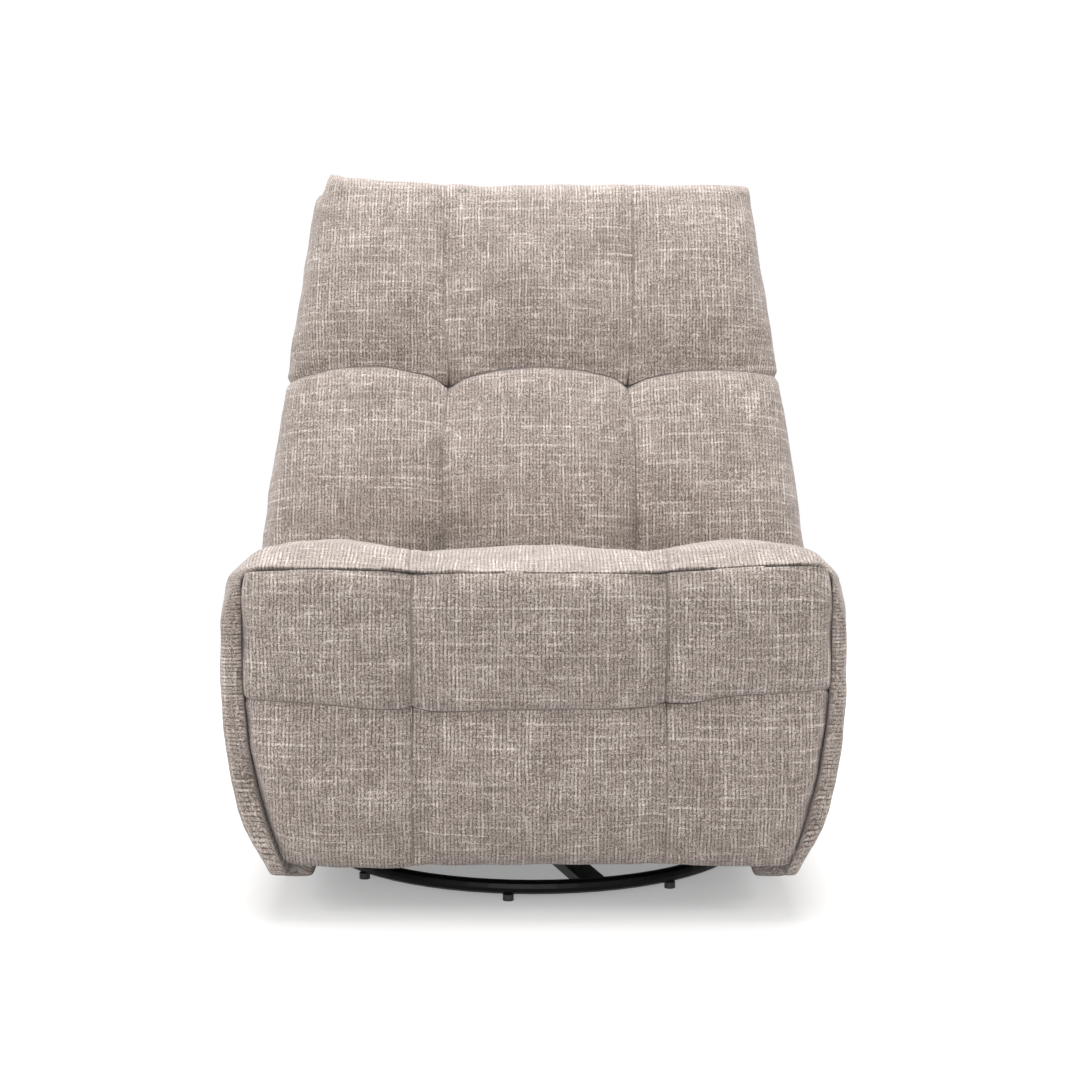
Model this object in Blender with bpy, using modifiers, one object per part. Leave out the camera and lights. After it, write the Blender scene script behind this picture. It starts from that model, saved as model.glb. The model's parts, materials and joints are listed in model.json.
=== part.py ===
"""Manual swivel recliner, armless, on a ring base. Metres, +Z up, front towards -Y.

Everything is laid out from the swivel axis; the chair empty then moves it into the object's frame.
Left and right are those of the photograph, so left is -X.
"""
import bpy
import bmesh
from math import atan2, cos, pi, radians, sin, sqrt
from mathutils import Matrix, Vector

# Frame and fits
AXIS_Y = -0.0360           # swivel axis, seen from the middle of the chair's depth
SEAT_GAP = 0.0003          # between two pieces that touch
PIN_PLAY = 0.0003          # radial play of a pivot
LAYER_GAP = 0.001          # between two bars that swing past each other

# Base
RING_RADIUS = 0.309
RING_TUBE = 0.0100
RING_SIDES = 64
GLIDE_RADIUS = 0.0078
GLIDE_HEIGHT = 0.0090
GLIDE_COUNT = 8
BASE_TURN = radians(16)    # the photograph shows one spoke this far right of the front
SPOKE_WIDTH = 0.036
SPOKE_BOTTOM = 0.012
SPOKE_TOP = 0.026
HUB_RADIUS = 0.060
HUB_TOP = 0.034
RACE_RADIUS = 0.085
RACE_HEIGHT = 0.008
POST_RADIUS = 0.015
POST_HEAD_RADIUS = 0.024
POST_HEAD_HEIGHT = 0.005
PLATFORM_THICK = 0.004

# Glider: links hang from the brackets and carry the seat
BRACKET_X = 0.203
STEEL = 0.004
GLIDER_LINK_THICK = 0.0045
GLIDER_LINK_HALF = 0.011
GLIDER_PIN = 0.006
GLIDER_HALF_BASE = 0.110
GLIDER_TOP_Z = 0.200
GLIDER_LINK_LENGTH = 0.095
PLATE_HALF_LENGTH = 0.130
CROSS_TUBE = 0.025
CROSS_TUBE_Y = 0.1125
BRACKET_RISE = 0.015       # of the bracket and the hanger above the upper glider pins
HANGER_RISE = 0.0274
HANGER_DROP = 0.016

# Wooden seat box
SIDE_PAD_THICK = 0.113
BOARD_THICK = 0.018
BOARD_FRONT_Y = -0.310
BOARD_REAR_Y = 0.300
BOARD_BOTTOM_Z = 0.075
BOARD_TOP_Z = 0.366
FRONT_RAIL_Y = (-0.255, -0.195)
FRONT_RAIL_Z = (0.345, 0.367)
REAR_RAIL_Y = (0.030, 0.050)
REAR_RAIL_Z = (0.316, 0.367)
REAR_PANEL_THICK = 0.0275
REAR_PANEL_Z = (0.060, 0.252)

# Seat springs
SPRING_WIRE = 0.0018
SPRING_XS = (-0.17, 0.0, 0.17)
SPRING_SWING = 0.026
SPRING_BENDS = 8

# Soft seat, sides and footrest, as the photograph shows them
BODY_HALF_WIDTH = 0.426
BOARD_IN_X = BODY_HALF_WIDTH - SIDE_PAD_THICK - BOARD_THICK
BODY_WIDEST_Z = 0.380
BODY_BOTTOM_Z = 0.043
BODY_BOTTOM_DRAW = 0.060
SIDE_PAD_Y = (-0.330, 0.333)
CUSHION_BOTTOM_Z = 0.3715
CUSHION_Y = (-0.405, 0.065)
CUSHION_STEP_Y = -0.314
NOSE_UNDER_Z = (0.470, 0.435)
FLANK_P = 0.745            # outside this share of the half width the cushion covers the side boards
SEAT_RIDGE_Z = 0.479
SEAT_CREST_Y = -0.330
SEAT_SLOPE = 0.115
SEAM_X = 0.173
PAD_Y = (-0.335, -0.395)
PAD_CROWN = 0.030
PAD_Z = (0.075, 0.462)
PAD_SEAM_Z = 0.298
PAD_INSET = 0.024
PAD_HALF_WIDTH = BODY_HALF_WIDTH - PAD_INSET
PAD_BOTTOM_DRAW = 0.050
PAD_TOP_FALL = 0.036

# Back, in its own leaning plane: x across, t up, n forward, all from the recline hinge
HINGE_Y = 0.200
HINGE_Z = 0.360
BACK_LEAN = radians(20.5)
BACK_TOP_T = 0.658
BACK_KNUCKLE = 0.130
SCOOP_RADIUS = 0.146
SCOOP_REAR_Z = 0.260
BACK_SEAM_X = 0.150
BACK_SEAM_T = 0.317
BACK_FRONT_N = 0.115
BACK_REAR_N = 0.118
BACK_LOW_CROWN = 0.046
BACK_HIGH_CROWN = 0.038
BACK_BOTTOM_HALF = 0.4215
BACK_TOP_HALF = 0.351
OUTER_ROUND = 0.020        # rounding of the outer back's edges
FRAME_HALF_THICK = 0.011
FRAME_T = (0.020, 0.600)
FRAME_STILE = 0.035
FRAME_RAIL = 0.050
FRAME_MID_T = 0.315
ARM_LENGTH = 0.250
ARM_HALF = 0.0105
RECLINE_PIN = 0.0080

# Footrest linkage: pivots in the plane of the side, lengths between pivots, closed angles
FOOT_PIVOT = Vector((-0.190, 0.285))          # front link on the plate
REAR_PIVOT = Vector((-0.1523, 0.2478))        # rear link on the plate
FRONT_TO_UPPER = 0.160
UPPER_TO_LOWER = 0.050
UPPER_REACH = 0.240
UPPER_TAIL = 0.040
FRONT_CLOSED = radians(-6)                    # from straight down, towards the front
UPPER_CLOSED = radians(25)                    # from straight up, towards the front
LINK_THICK = 0.004
LINK_HALF = 0.010
LINK_PIN = 0.005
TUBE_FROM_PIVOT = 0.050
TORSION_TUBE = 0.009
MANDREL_RADIUS = 0.008
COIL_RADIUS = 0.0104
COIL_WIRE = 0.0015
COIL_TURNS = 4
BOARD_Z = (0.100, 0.420)
BOARD_OVERLAP = 0.013                         # of the footrest board over the side boards
FOOT_BOARD_THICK = 0.012
BRACKET_REACH = 0.030
FLANGE_WIDTH = 0.022
FLANGE_THICK = 0.003
PIVOT_EDGE = 0.018                            # steel of the mechanism plate around its pivots
HINGE_EDGE = 0.022
PLATE_LAP = 0.005                             # of the mechanism plate below the hanger's top

# Release handle in the left side
LATCH_Y = -0.100
LATCH_Z = 0.300
CUP_SIZE = Vector((0.034, 0.100, 0.050))
CUP_WALL = 0.0025
CUP_INSET = 0.0007
FLANGE_RIM = 0.010
LEVER_LENGTH = 0.062
LEVER_THICK = 0.005
LEVER_PIN_INSET = 0.010
CABLE_RADIUS = 0.0025

FABRIC = (0.42, 0.34, 0.29, 1)
for old in list(bpy.data.objects):
    bpy.data.objects.remove(old, do_unlink=True)
parts = bpy.data.collections.new("manual_recliner")
cutters = bpy.data.collections.new("cutters")
for group in (parts, cutters):
    bpy.context.scene.collection.children.link(group)


def material(name, colour, roughness, metallic=0.0):
    mat = bpy.data.materials.new(name)
    mat.use_nodes = True
    bsdf = mat.node_tree.nodes["Principled BSDF"]
    bsdf.inputs["Base Color"].default_value = colour
    bsdf.inputs["Roughness"].default_value = roughness
    bsdf.inputs["Metallic"].default_value = metallic
    return mat


black_steel = material("black_steel", (0.012, 0.012, 0.012, 1), 0.35, 0.6)
zinc_steel = material("zinc_steel", (0.55, 0.55, 0.54, 1), 0.35, 1.0)
spring_steel = material("spring_steel", (0.10, 0.10, 0.11, 1), 0.4, 1.0)
plywood = material("plywood", (0.55, 0.38, 0.22, 1), 0.7)
fabric = material("fabric", FABRIC, 0.95)
black_plastic = material("black_plastic", (0.015, 0.015, 0.015, 1), 0.5)


def empty(name, x, y, z, parent=None):
    ob = bpy.data.objects.new(name, None)
    ob.location = (x, y, z)
    ob.parent = parent
    parts.objects.link(ob)
    return ob


chair = empty("chair", 0, AXIS_Y, 0)


def hang(name, mesh, on, group):
    """Make an object of a mesh drawn in chair coordinates, with its origin at the pivot it hangs on."""
    if on is not chair:
        mesh.transform(Matrix.Translation(-on.location))
    ob = bpy.data.objects.new(name, mesh)
    ob.parent = on
    group.objects.link(ob)
    return ob


def add(name, mesh, mat, on=chair, smooth=None):
    ob = hang(name, mesh, on, parts)
    mesh.materials.clear()
    mesh.materials.append(mat)
    if smooth:
        mesh.shade_smooth()
        mesh.set_sharp_from_angle(angle=radians(smooth))
    return ob


def boolean(ob, mesh, name, operation, on=chair):
    cutter = hang(name, mesh, on, cutters)
    cutter.hide_render = True
    cutter.display_type = 'WIRE'
    mod = ob.modifiers.new(name, 'BOOLEAN')
    mod.operation = operation
    mod.solver = 'EXACT'
    mod.object = cutter
    return ob


def to_mesh(bm, name):
    bmesh.ops.recalc_face_normals(bm, faces=bm.faces[:])
    mesh = bpy.data.meshes.new(name)
    bm.to_mesh(mesh)
    bm.free()
    return mesh


def box(lo, hi, name="box"):
    lo, hi = Vector(lo), Vector(hi)
    bm = bmesh.new()
    place = Matrix.Translation((lo + hi) / 2) @ Matrix.Diagonal((*(hi - lo), 1))
    bmesh.ops.create_cube(bm, size=1.0, matrix=place)
    return to_mesh(bm, name)


def upright(radius, z0, z1, at=(0, 0), sides=24):
    """Round piece standing along Z."""
    bm = bmesh.new()
    place = Matrix.Translation((at[0], at[1], (z0 + z1) / 2))
    bmesh.ops.create_cone(bm, cap_ends=True, segments=sides, radius1=radius, radius2=radius,
                          depth=z1 - z0, matrix=place)
    return to_mesh(bm, "upright")


def pins(centres, radius, x0, x1, sides=12):
    """Round pins along X, one at each (y, z) centre, as one mesh."""
    bm = bmesh.new()
    for y, z in centres:
        place = Matrix.Translation(((x0 + x1) / 2, y, z)) @ Matrix.Rotation(pi / 2, 4, 'Y')
        bmesh.ops.create_cone(bm, cap_ends=True, segments=sides, radius1=radius, radius2=radius,
                              depth=abs(x1 - x0), matrix=place)
    return to_mesh(bm, "pins")


def from_curve(curve):
    """Mesh of a curve as it is drawn, with its doubled points joined."""
    ob = bpy.data.objects.new("drawn", curve)
    cutters.objects.link(ob)
    seen = ob.evaluated_get(bpy.context.evaluated_depsgraph_get())
    mesh = bpy.data.meshes.new_from_object(seen)
    bpy.data.objects.remove(ob)
    bm = bmesh.new()
    bm.from_mesh(mesh)
    bmesh.ops.remove_doubles(bm, verts=bm.verts[:], dist=1e-6)
    return to_mesh(bm, "drawn")


def add_spline(curve, points, closed):
    spline = curve.splines.new('POLY')
    spline.points.add(len(points) - 1)
    for point, co in zip(spline.points, points):
        point.co = (co[0], co[1], co[2] if len(co) > 2 else 0, 1)
    spline.use_cyclic_u = closed


def flat(loops, thick, place):
    """Flat piece: the first loop is its outline and the others are holes in it."""
    curve = bpy.data.curves.new("flat", 'CURVE')
    curve.dimensions = '2D'
    curve.fill_mode = 'BOTH'
    curve.extrude = thick / 2
    for loop in loops:
        add_spline(curve, loop, True)
    mesh = from_curve(curve)
    mesh.transform(place)
    return mesh


def side_flat(loops, x0, x1):
    """Flat piece in the plane of the side: loops hold (y, z)."""
    turn = Matrix(((0, 0, 1, (x0 + x1) / 2), (1, 0, 0, 0), (0, 1, 0, 0), (0, 0, 0, 1)))
    return flat(loops, abs(x1 - x0), turn)


def wire(points, radius):
    curve = bpy.data.curves.new("wire", 'CURVE')
    curve.dimensions = '3D'
    curve.bevel_depth = radius
    curve.bevel_resolution = 0
    curve.use_fill_caps = True
    add_spline(curve, points, False)
    return from_curve(curve)


def circle(centre, radius, sides=12):
    return [(centre[0] + radius * cos(2 * pi * i / sides),
             centre[1] + radius * sin(2 * pi * i / sides)) for i in range(sides)]


def bar(p, q, half, steps=6):
    """Outline of a bar with round ends, from pivot p to pivot q."""
    along = atan2(q[1] - p[1], q[0] - p[0])
    loop = []
    for centre, start in ((q, along - pi / 2), (p, along + pi / 2)):
        for i in range(steps + 1):
            a = start + pi * i / steps
            loop.append((centre[0] + half * cos(a), centre[1] + half * sin(a)))
    return loop


def gridded_block(xs, ys, zs):
    """Block cut into a grid at the given stations, ready for its points to be moved."""
    lo = Vector((xs[0], ys[0], zs[0]))
    hi = Vector((xs[-1], ys[-1], zs[-1]))
    bm = bmesh.new()
    place = Matrix.Translation((lo + hi) / 2) @ Matrix.Diagonal((*(hi - lo), 1))
    bmesh.ops.create_cube(bm, size=1.0, matrix=place)
    for axis, stations in enumerate((xs, ys, zs)):
        normal = Vector((0, 0, 0))
        normal[axis] = 1
        for station in stations[1:-1]:
            everything = bm.verts[:] + bm.edges[:] + bm.faces[:]
            bmesh.ops.bisect_plane(bm, geom=everything, plane_co=normal * station, plane_no=normal)
    return bm


def both_ways(stations):
    return [-s for s in reversed(stations) if s > 0] + list(stations)


def puff(s, seams):
    """0 on a seam and outside them all, 1 midway between two seams."""
    for a, b in zip(seams, seams[1:]):
        if a < s < b:
            q = (s - a) / (b - a)
            return sqrt(4 * q * (1 - q))
    return 0.0


def body_half(z):
    """Half width of the body at a height: widest below the seat, drawn in to the floor and the top."""
    low = max(0.0, (BODY_WIDEST_Z - z) / (BODY_WIDEST_Z - BODY_BOTTOM_Z))
    high = max(0.0, (z - BODY_WIDEST_Z) / 0.10)
    return BODY_HALF_WIDTH - BODY_BOTTOM_DRAW * low ** 3 - 0.012 * high ** 3


def scoop(y, top, radius):
    """Top of the sides: level, then a round scoop that the foot of the back turns in."""
    if y <= HINGE_Y - radius:
        return top
    drop = sqrt(max(0.0, radius ** 2 - (y - HINGE_Y) ** 2))
    return min(top, HINGE_Z - drop, SCOOP_REAR_Z if y > HINGE_Y else top)


# Pivots of the moving pieces
swivel = empty("swivel_axis", 0, 0, HUB_TOP, chair)
glide_front = empty("glide_front_axis", 0, -GLIDER_HALF_BASE, GLIDER_TOP_Z, chair)
glide_rear = empty("glide_rear_axis", 0, GLIDER_HALF_BASE, GLIDER_TOP_Z, chair)
recline = empty("recline_axis", 0, HINGE_Y, HINGE_Z, chair)


def down(angle, length):
    return Vector((-sin(angle), -cos(angle))) * length


def up(angle, length):
    return Vector((-sin(angle), cos(angle))) * length


a_pin = FOOT_PIVOT
b_pin = REAR_PIVOT
c_pin = a_pin + down(FRONT_CLOSED, FRONT_TO_UPPER)
d_pin = a_pin + down(FRONT_CLOSED, FRONT_TO_UPPER + UPPER_TO_LOWER)
g_pin = c_pin + up(UPPER_CLOSED, UPPER_REACH)
e_pin = c_pin - up(UPPER_CLOSED, UPPER_TAIL)
f_pin = d_pin + up(UPPER_CLOSED, UPPER_REACH)
front_axis = empty("front_link_axis", 0, a_pin.x, a_pin.y, chair)
rear_axis = empty("rear_link_axis", 0, b_pin.x, b_pin.y, chair)
upper_axis = empty("upper_link_axis", 0, c_pin.x, c_pin.y, chair)
lower_axis = empty("lower_link_axis", 0, d_pin.x, d_pin.y, chair)
foot_axis = empty("footrest_axis", 0, g_pin.x, g_pin.y, chair)

# Ring base
bpy.ops.mesh.primitive_torus_add(major_radius=RING_RADIUS, minor_radius=RING_TUBE,
                                 major_segments=RING_SIDES, minor_segments=10)
torus = bpy.context.object
ring_mesh = torus.data
bpy.data.objects.remove(torus)
ring_mesh.transform(Matrix.Translation((0, 0, GLIDE_HEIGHT + RING_TUBE)))
add("base_ring", ring_mesh, black_steel, smooth=60)

ring_inside = (RING_RADIUS - RING_TUBE) * cos(pi / RING_SIDES) - SEAT_GAP
spoke_reach = sqrt(ring_inside ** 2 - (SPOKE_WIDTH / 2) ** 2)
spokes = upright(HUB_RADIUS, SPOKE_BOTTOM, HUB_TOP, sides=32)
spoke_ob = add("base_spokes", spokes, black_steel)
for number in range(2):
    arm = box((-SPOKE_WIDTH / 2, -spoke_reach, SPOKE_BOTTOM + 0.001 * number),
              (SPOKE_WIDTH / 2, spoke_reach, SPOKE_TOP + 0.001 * number))
    arm.transform(Matrix.Rotation(BASE_TURN + number * pi / 2, 4, 'Z'))
    boolean(spoke_ob, arm, f"base_spoke_{number + 1}_bar", 'UNION')

for number in range(GLIDE_COUNT):
    around = BASE_TURN + (number + 0.5) * 2 * pi / GLIDE_COUNT
    spot = (RING_RADIUS * sin(around), -RING_RADIUS * cos(around))
    glide = upright(GLIDE_RADIUS, 0, GLIDE_HEIGHT - SEAT_GAP, spot, sides=14)
    add(f"floor_glide_{number + 1}", glide, black_plastic)

# Swivel bearing: lower race and post on the base, upper race and platform turn on them
lower_z = HUB_TOP + SEAT_GAP
upper_z = lower_z + RACE_HEIGHT + SEAT_GAP
platform_z = upper_z + RACE_HEIGHT + SEAT_GAP
head_z = platform_z + PLATFORM_THICK + SEAT_GAP
post = add("swivel_post", upright(POST_RADIUS, lower_z, head_z + 0.002), zinc_steel)
head = upright(POST_HEAD_RADIUS, head_z, head_z + POST_HEAD_HEIGHT)
boolean(post, head, "swivel_post_head", 'UNION')


def washer(radius, thick, z):
    loops = (circle((0, 0), radius, 32), circle((0, 0), POST_RADIUS + PIN_PLAY, 24))
    return flat(loops, thick, Matrix.Translation((0, 0, z + thick / 2)))


add("bearing_lower_race", washer(RACE_RADIUS, RACE_HEIGHT, lower_z), zinc_steel)
add("bearing_upper_race", washer(RACE_RADIUS, RACE_HEIGHT, upper_z), zinc_steel, swivel)

platform_x = BRACKET_X - SEAT_GAP
platform_loop = [(-platform_x, -PLATE_HALF_LENGTH), (platform_x, -PLATE_HALF_LENGTH),
                 (platform_x, PLATE_HALF_LENGTH), (-platform_x, PLATE_HALF_LENGTH)]
platform = flat((platform_loop, circle((0, 0), POST_RADIUS + PIN_PLAY, 24)), PLATFORM_THICK,
                Matrix.Translation((0, 0, platform_z + PLATFORM_THICK / 2)))
add("swivel_platform", platform, black_steel, swivel)


def rounded_plate(y0, y1, z0, z1, radius, steps=3):
    corners = ((y1 - radius, z0 + radius, -pi / 2), (y1 - radius, z1 - radius, 0),
               (y0 + radius, z1 - radius, pi / 2), (y0 + radius, z0 + radius, pi))
    loop = []
    for y, z, start in corners:
        for i in range(steps + 1):
            a = start + pi / 2 * i / steps
            loop.append((y + radius * cos(a), z + radius * sin(a)))
    return loop


# Layers of the side, counted inwards from the wooden board
plate_x = BOARD_IN_X - SEAT_GAP - STEEL
layer_pitch = LINK_THICK + LAYER_GAP
lower_x = plate_x - layer_pitch
front_x = lower_x - layer_pitch
upper_x = front_x - layer_pitch
rear_x = upper_x - layer_pitch
glider_link_x = BRACKET_X + STEEL + LAYER_GAP
hanger_x = glider_link_x + GLIDER_LINK_THICK + LAYER_GAP
glider_low_z = GLIDER_TOP_Z - GLIDER_LINK_LENGTH
bracket_top = GLIDER_TOP_Z + BRACKET_RISE
hanger_top = GLIDER_TOP_Z + HANGER_RISE
tube_z = hanger_top + SEAT_GAP
glider_tops = [(-GLIDER_HALF_BASE, GLIDER_TOP_Z), (GLIDER_HALF_BASE, GLIDER_TOP_Z)]
glider_lows = [(-GLIDER_HALF_BASE, glider_low_z), (GLIDER_HALF_BASE, glider_low_z)]
hinge = (HINGE_Y, HINGE_Z)


def plate_loop():
    """Mechanism plate: carries the footrest pivots in front and the back's hinge behind."""
    e, h = PIVOT_EDGE, HINGE_EDGE
    low = hanger_top - PLATE_LAP
    top = a_pin.y + 1.5 * e
    return [(a_pin.x - e, a_pin.y - 1.3 * e), (b_pin.x - e, b_pin.y - e),
            (-PLATE_HALF_LENGTH, low), (PLATE_HALF_LENGTH, low),
            (HINGE_Y - 1.6 * h, HINGE_Z - 5 * h), (HINGE_Y + 1.2 * h, HINGE_Z - 0.9 * h),
            (HINGE_Y + 1.2 * h, HINGE_Z + 0.8 * h), (HINGE_Y - 0.6 * h, HINGE_Z + 1.1 * h),
            (HINGE_Y - 3.6 * h, top), (a_pin.x, top), (a_pin.x - e, a_pin.y + 0.8 * e)]


def board_loop():
    loop = [(BOARD_FRONT_Y, BOARD_TOP_Z), (BOARD_FRONT_Y, BOARD_BOTTOM_Z), (BOARD_REAR_Y, BOARD_BOTTOM_Z)]
    first = HINGE_Y - SCOOP_RADIUS + 0.0005
    for i in range(11):
        y = BOARD_REAR_Y + (first - BOARD_REAR_Y) * i / 10
        loop.append((y, scoop(y, BOARD_TOP_Z, SCOOP_RADIUS)))
    loop.append((first, BOARD_TOP_Z))
    return loop


def side_x(sign, a, b):
    return sorted((sign * a, sign * b))


for side, sign in (("left", -1), ("right", 1)):
    # Glider
    plate = rounded_plate(-PLATE_HALF_LENGTH, PLATE_HALF_LENGTH, platform_z, bracket_top, 0.012)
    ob = add(f"glider_bracket_{side}", side_flat([plate], *side_x(sign, BRACKET_X, BRACKET_X + STEEL)),
             black_steel, swivel)
    studs = pins(glider_tops, GLIDER_PIN,
                 *side_x(sign, BRACKET_X + STEEL / 2, glider_link_x + GLIDER_LINK_THICK + 0.0004))
    boolean(ob, studs, f"glider_bracket_{side}_pins", 'UNION', swivel)
    for end, axis, top, low in zip(("front", "rear"), (glide_front, glide_rear), glider_tops, glider_lows):
        loops = [bar(top, low, GLIDER_LINK_HALF)]
        loops += [circle(p, GLIDER_PIN + PIN_PLAY) for p in (top, low)]
        link = side_flat(loops, *side_x(sign, glider_link_x, glider_link_x + GLIDER_LINK_THICK))
        add(f"glider_link_{end}_{side}", link, zinc_steel, axis)
    plate = rounded_plate(-PLATE_HALF_LENGTH, PLATE_HALF_LENGTH, glider_low_z - HANGER_DROP, hanger_top,
                          0.012)
    ob = add(f"seat_hanger_{side}", side_flat([plate], *side_x(sign, hanger_x, hanger_x + STEEL)),
             black_steel)
    studs = pins(glider_lows, GLIDER_PIN, *side_x(sign, glider_link_x - 0.0004, hanger_x + STEEL / 2))
    boolean(ob, studs, f"seat_hanger_{side}_pins", 'UNION')

    # Mechanism plate with its pivots and the post that the footrest spring is wound on
    ob = add(f"mechanism_plate_{side}", side_flat([plate_loop()], *side_x(sign, plate_x, plate_x + STEEL)),
             black_steel)
    studs = pins([a_pin], MANDREL_RADIUS, *side_x(sign, rear_x - 0.020, plate_x + STEEL / 2))
    boolean(ob, studs, f"mechanism_plate_{side}_front_pin", 'UNION')
    studs = pins([b_pin], LINK_PIN, *side_x(sign, rear_x - 0.001, plate_x + STEEL / 2))
    boolean(ob, studs, f"mechanism_plate_{side}_rear_pin", 'UNION')
    studs = pins([hinge], RECLINE_PIN, *side_x(sign, lower_x - 0.001, plate_x + STEEL / 2))
    boolean(ob, studs, f"mechanism_plate_{side}_hinge_pin", 'UNION')
    coil = []
    coil_turn = 2 * pi * COIL_TURNS
    coil_length = COIL_TURNS * (2 * COIL_WIRE + 0.0006)
    for i in range(COIL_TURNS * 10 + 1):
        share = i / (COIL_TURNS * 10)
        a = coil_turn * share
        coil.append((sign * (rear_x - 0.0025 - coil_length * share),
                     a_pin.x + COIL_RADIUS * cos(a), a_pin.y + COIL_RADIUS * sin(a)))
    coil.append((coil[-1][0], coil[-1][1] + 0.0060, coil[-1][2] - 0.045))
    add(f"footrest_spring_{side}", wire(coil, COIL_WIRE), spring_steel)

    # Footrest linkage
    loops = [bar(a_pin, d_pin, LINK_HALF + 0.003)]
    loops.append(circle(a_pin, MANDREL_RADIUS + PIN_PLAY))
    ob = add(f"front_link_{side}", side_flat(loops, *side_x(sign, front_x, front_x + LINK_THICK)),
             zinc_steel, front_axis)
    stud = pins([c_pin], LINK_PIN, *side_x(sign, upper_x - 0.0004, front_x + LINK_THICK / 2))
    boolean(ob, stud, f"front_link_{side}_upper_pin", 'UNION', front_axis)
    stud = pins([d_pin], LINK_PIN, *side_x(sign, front_x + LINK_THICK / 2, lower_x + LINK_THICK + 0.0004))
    boolean(ob, stud, f"front_link_{side}_lower_pin", 'UNION', front_axis)

    loops = [bar(b_pin, e_pin, LINK_HALF)]
    loops.append(circle(b_pin, LINK_PIN + PIN_PLAY))
    add(f"rear_link_{side}", side_flat(loops, *side_x(sign, rear_x, rear_x + LINK_THICK)),
        zinc_steel, rear_axis)

    loops = [bar(e_pin, g_pin, LINK_HALF)]
    loops += [circle(p, LINK_PIN + PIN_PLAY) for p in (c_pin, g_pin)]
    add(f"upper_link_{side}", side_flat(loops, *side_x(sign, upper_x, upper_x + LINK_THICK)),
        zinc_steel, upper_axis)

    loops = [bar(d_pin, f_pin, LINK_HALF)]
    loops += [circle(p, LINK_PIN + PIN_PLAY) for p in (d_pin, f_pin)]
    add(f"lower_link_{side}", side_flat(loops, *side_x(sign, lower_x, lower_x + LINK_THICK)),
        zinc_steel, lower_axis)

    # Bracket from the links to the footrest board, with a flange on the board
    board_y = PAD_Y[0] + SEAT_GAP + FOOT_BOARD_THICK + SEAT_GAP
    loop = [(board_y, f_pin.y - BRACKET_REACH), (f_pin.x, f_pin.y - LINK_HALF),
            (f_pin.x + LINK_HALF, f_pin.y), (g_pin.x + LINK_HALF, g_pin.y),
            (g_pin.x, g_pin.y + LINK_HALF), (board_y, g_pin.y + BRACKET_REACH)]
    ob = add(f"footrest_bracket_{side}", side_flat([loop], *side_x(sign, front_x, front_x + LINK_THICK)),
             zinc_steel, foot_axis)
    x0, x1 = side_x(sign, front_x - FLANGE_WIDTH, front_x + LINK_THICK - 0.0005)
    flange = box((x0, board_y, f_pin.y - BRACKET_REACH + 0.001),
                 (x1, board_y + FLANGE_THICK, g_pin.y + BRACKET_REACH - 0.001))
    boolean(ob, flange, f"footrest_bracket_{side}_flange", 'UNION', foot_axis)
    stud = pins([f_pin], LINK_PIN, *side_x(sign, front_x + LINK_THICK / 2, lower_x + LINK_THICK + 0.0004))
    boolean(ob, stud, f"footrest_bracket_{side}_lower_pin", 'UNION', foot_axis)
    stud = pins([g_pin], LINK_PIN, *side_x(sign, upper_x - 0.0004, front_x + LINK_THICK / 2))
    boolean(ob, stud, f"footrest_bracket_{side}_upper_pin", 'UNION', foot_axis)

    # Wooden side and the arm that carries the back
    add(f"side_board_{side}", side_flat([board_loop()], *side_x(sign, BOARD_IN_X, BOARD_IN_X + BOARD_THICK)),
        plywood)
    arm_end = (HINGE_Y + ARM_LENGTH * sin(BACK_LEAN), HINGE_Z + ARM_LENGTH * cos(BACK_LEAN))
    loops = [bar(hinge, arm_end, ARM_HALF), circle(hinge, RECLINE_PIN + PIN_PLAY)]
    add(f"back_arm_{side}", side_flat(loops, *side_x(sign, lower_x, lower_x + LINK_THICK)),
        zinc_steel, recline)

# Tubes and rails across the seat box
for end, middle in (("front", -CROSS_TUBE_Y), ("rear", CROSS_TUBE_Y)):
    tube = box((-plate_x + SEAT_GAP, middle - CROSS_TUBE / 2, tube_z),
               (plate_x - SEAT_GAP, middle + CROSS_TUBE / 2, tube_z + CROSS_TUBE))
    add(f"cross_tube_{end}", tube, black_steel)
tube_at = a_pin + down(FRONT_CLOSED, TUBE_FROM_PIVOT)
add("torsion_tube", pins([tube_at], TORSION_TUBE, -front_x + SEAT_GAP, front_x - SEAT_GAP, 16),
    zinc_steel, front_axis, smooth=60)
rail_x = BOARD_IN_X - SEAT_GAP
for end, y, z in (("front", FRONT_RAIL_Y, FRONT_RAIL_Z), ("rear", REAR_RAIL_Y, REAR_RAIL_Z)):
    add(f"{end}_seat_rail", box((-rail_x, y[0], z[0]), (rail_x, y[1], z[1])), plywood)
panel_y = BOARD_REAR_Y + SEAT_GAP
panel_x = BOARD_IN_X + BOARD_THICK - SEAT_GAP
panel = add("rear_panel", box((-panel_x, panel_y, REAR_PANEL_Z[0]),
                              (panel_x, panel_y + REAR_PANEL_THICK, REAR_PANEL_Z[1])), fabric)
edge = panel.modifiers.new("soft_edge", 'BEVEL')
edge.width = 0.008
edge.segments = 2

# Zigzag springs under the cushion
spring_z = FRONT_RAIL_Z[1] + SEAT_GAP + SPRING_WIRE
spring_y0 = FRONT_RAIL_Y[0] + 0.020
spring_y1 = REAR_RAIL_Y[1] - 0.008
for number, x in enumerate(SPRING_XS):
    zigzag = []
    for i in range(SPRING_BENDS * 6 + 1):
        share = i / (SPRING_BENDS * 6)
        bend = max(-1.0, min(1.0, 1.4 * sin(2 * pi * SPRING_BENDS * share)))
        zigzag.append((x + SPRING_SWING * bend, spring_y0 + (spring_y1 - spring_y0) * share, spring_z))
    add(f"seat_spring_{number + 1}", wire(zigzag, SPRING_WIRE), spring_steel)

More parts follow.
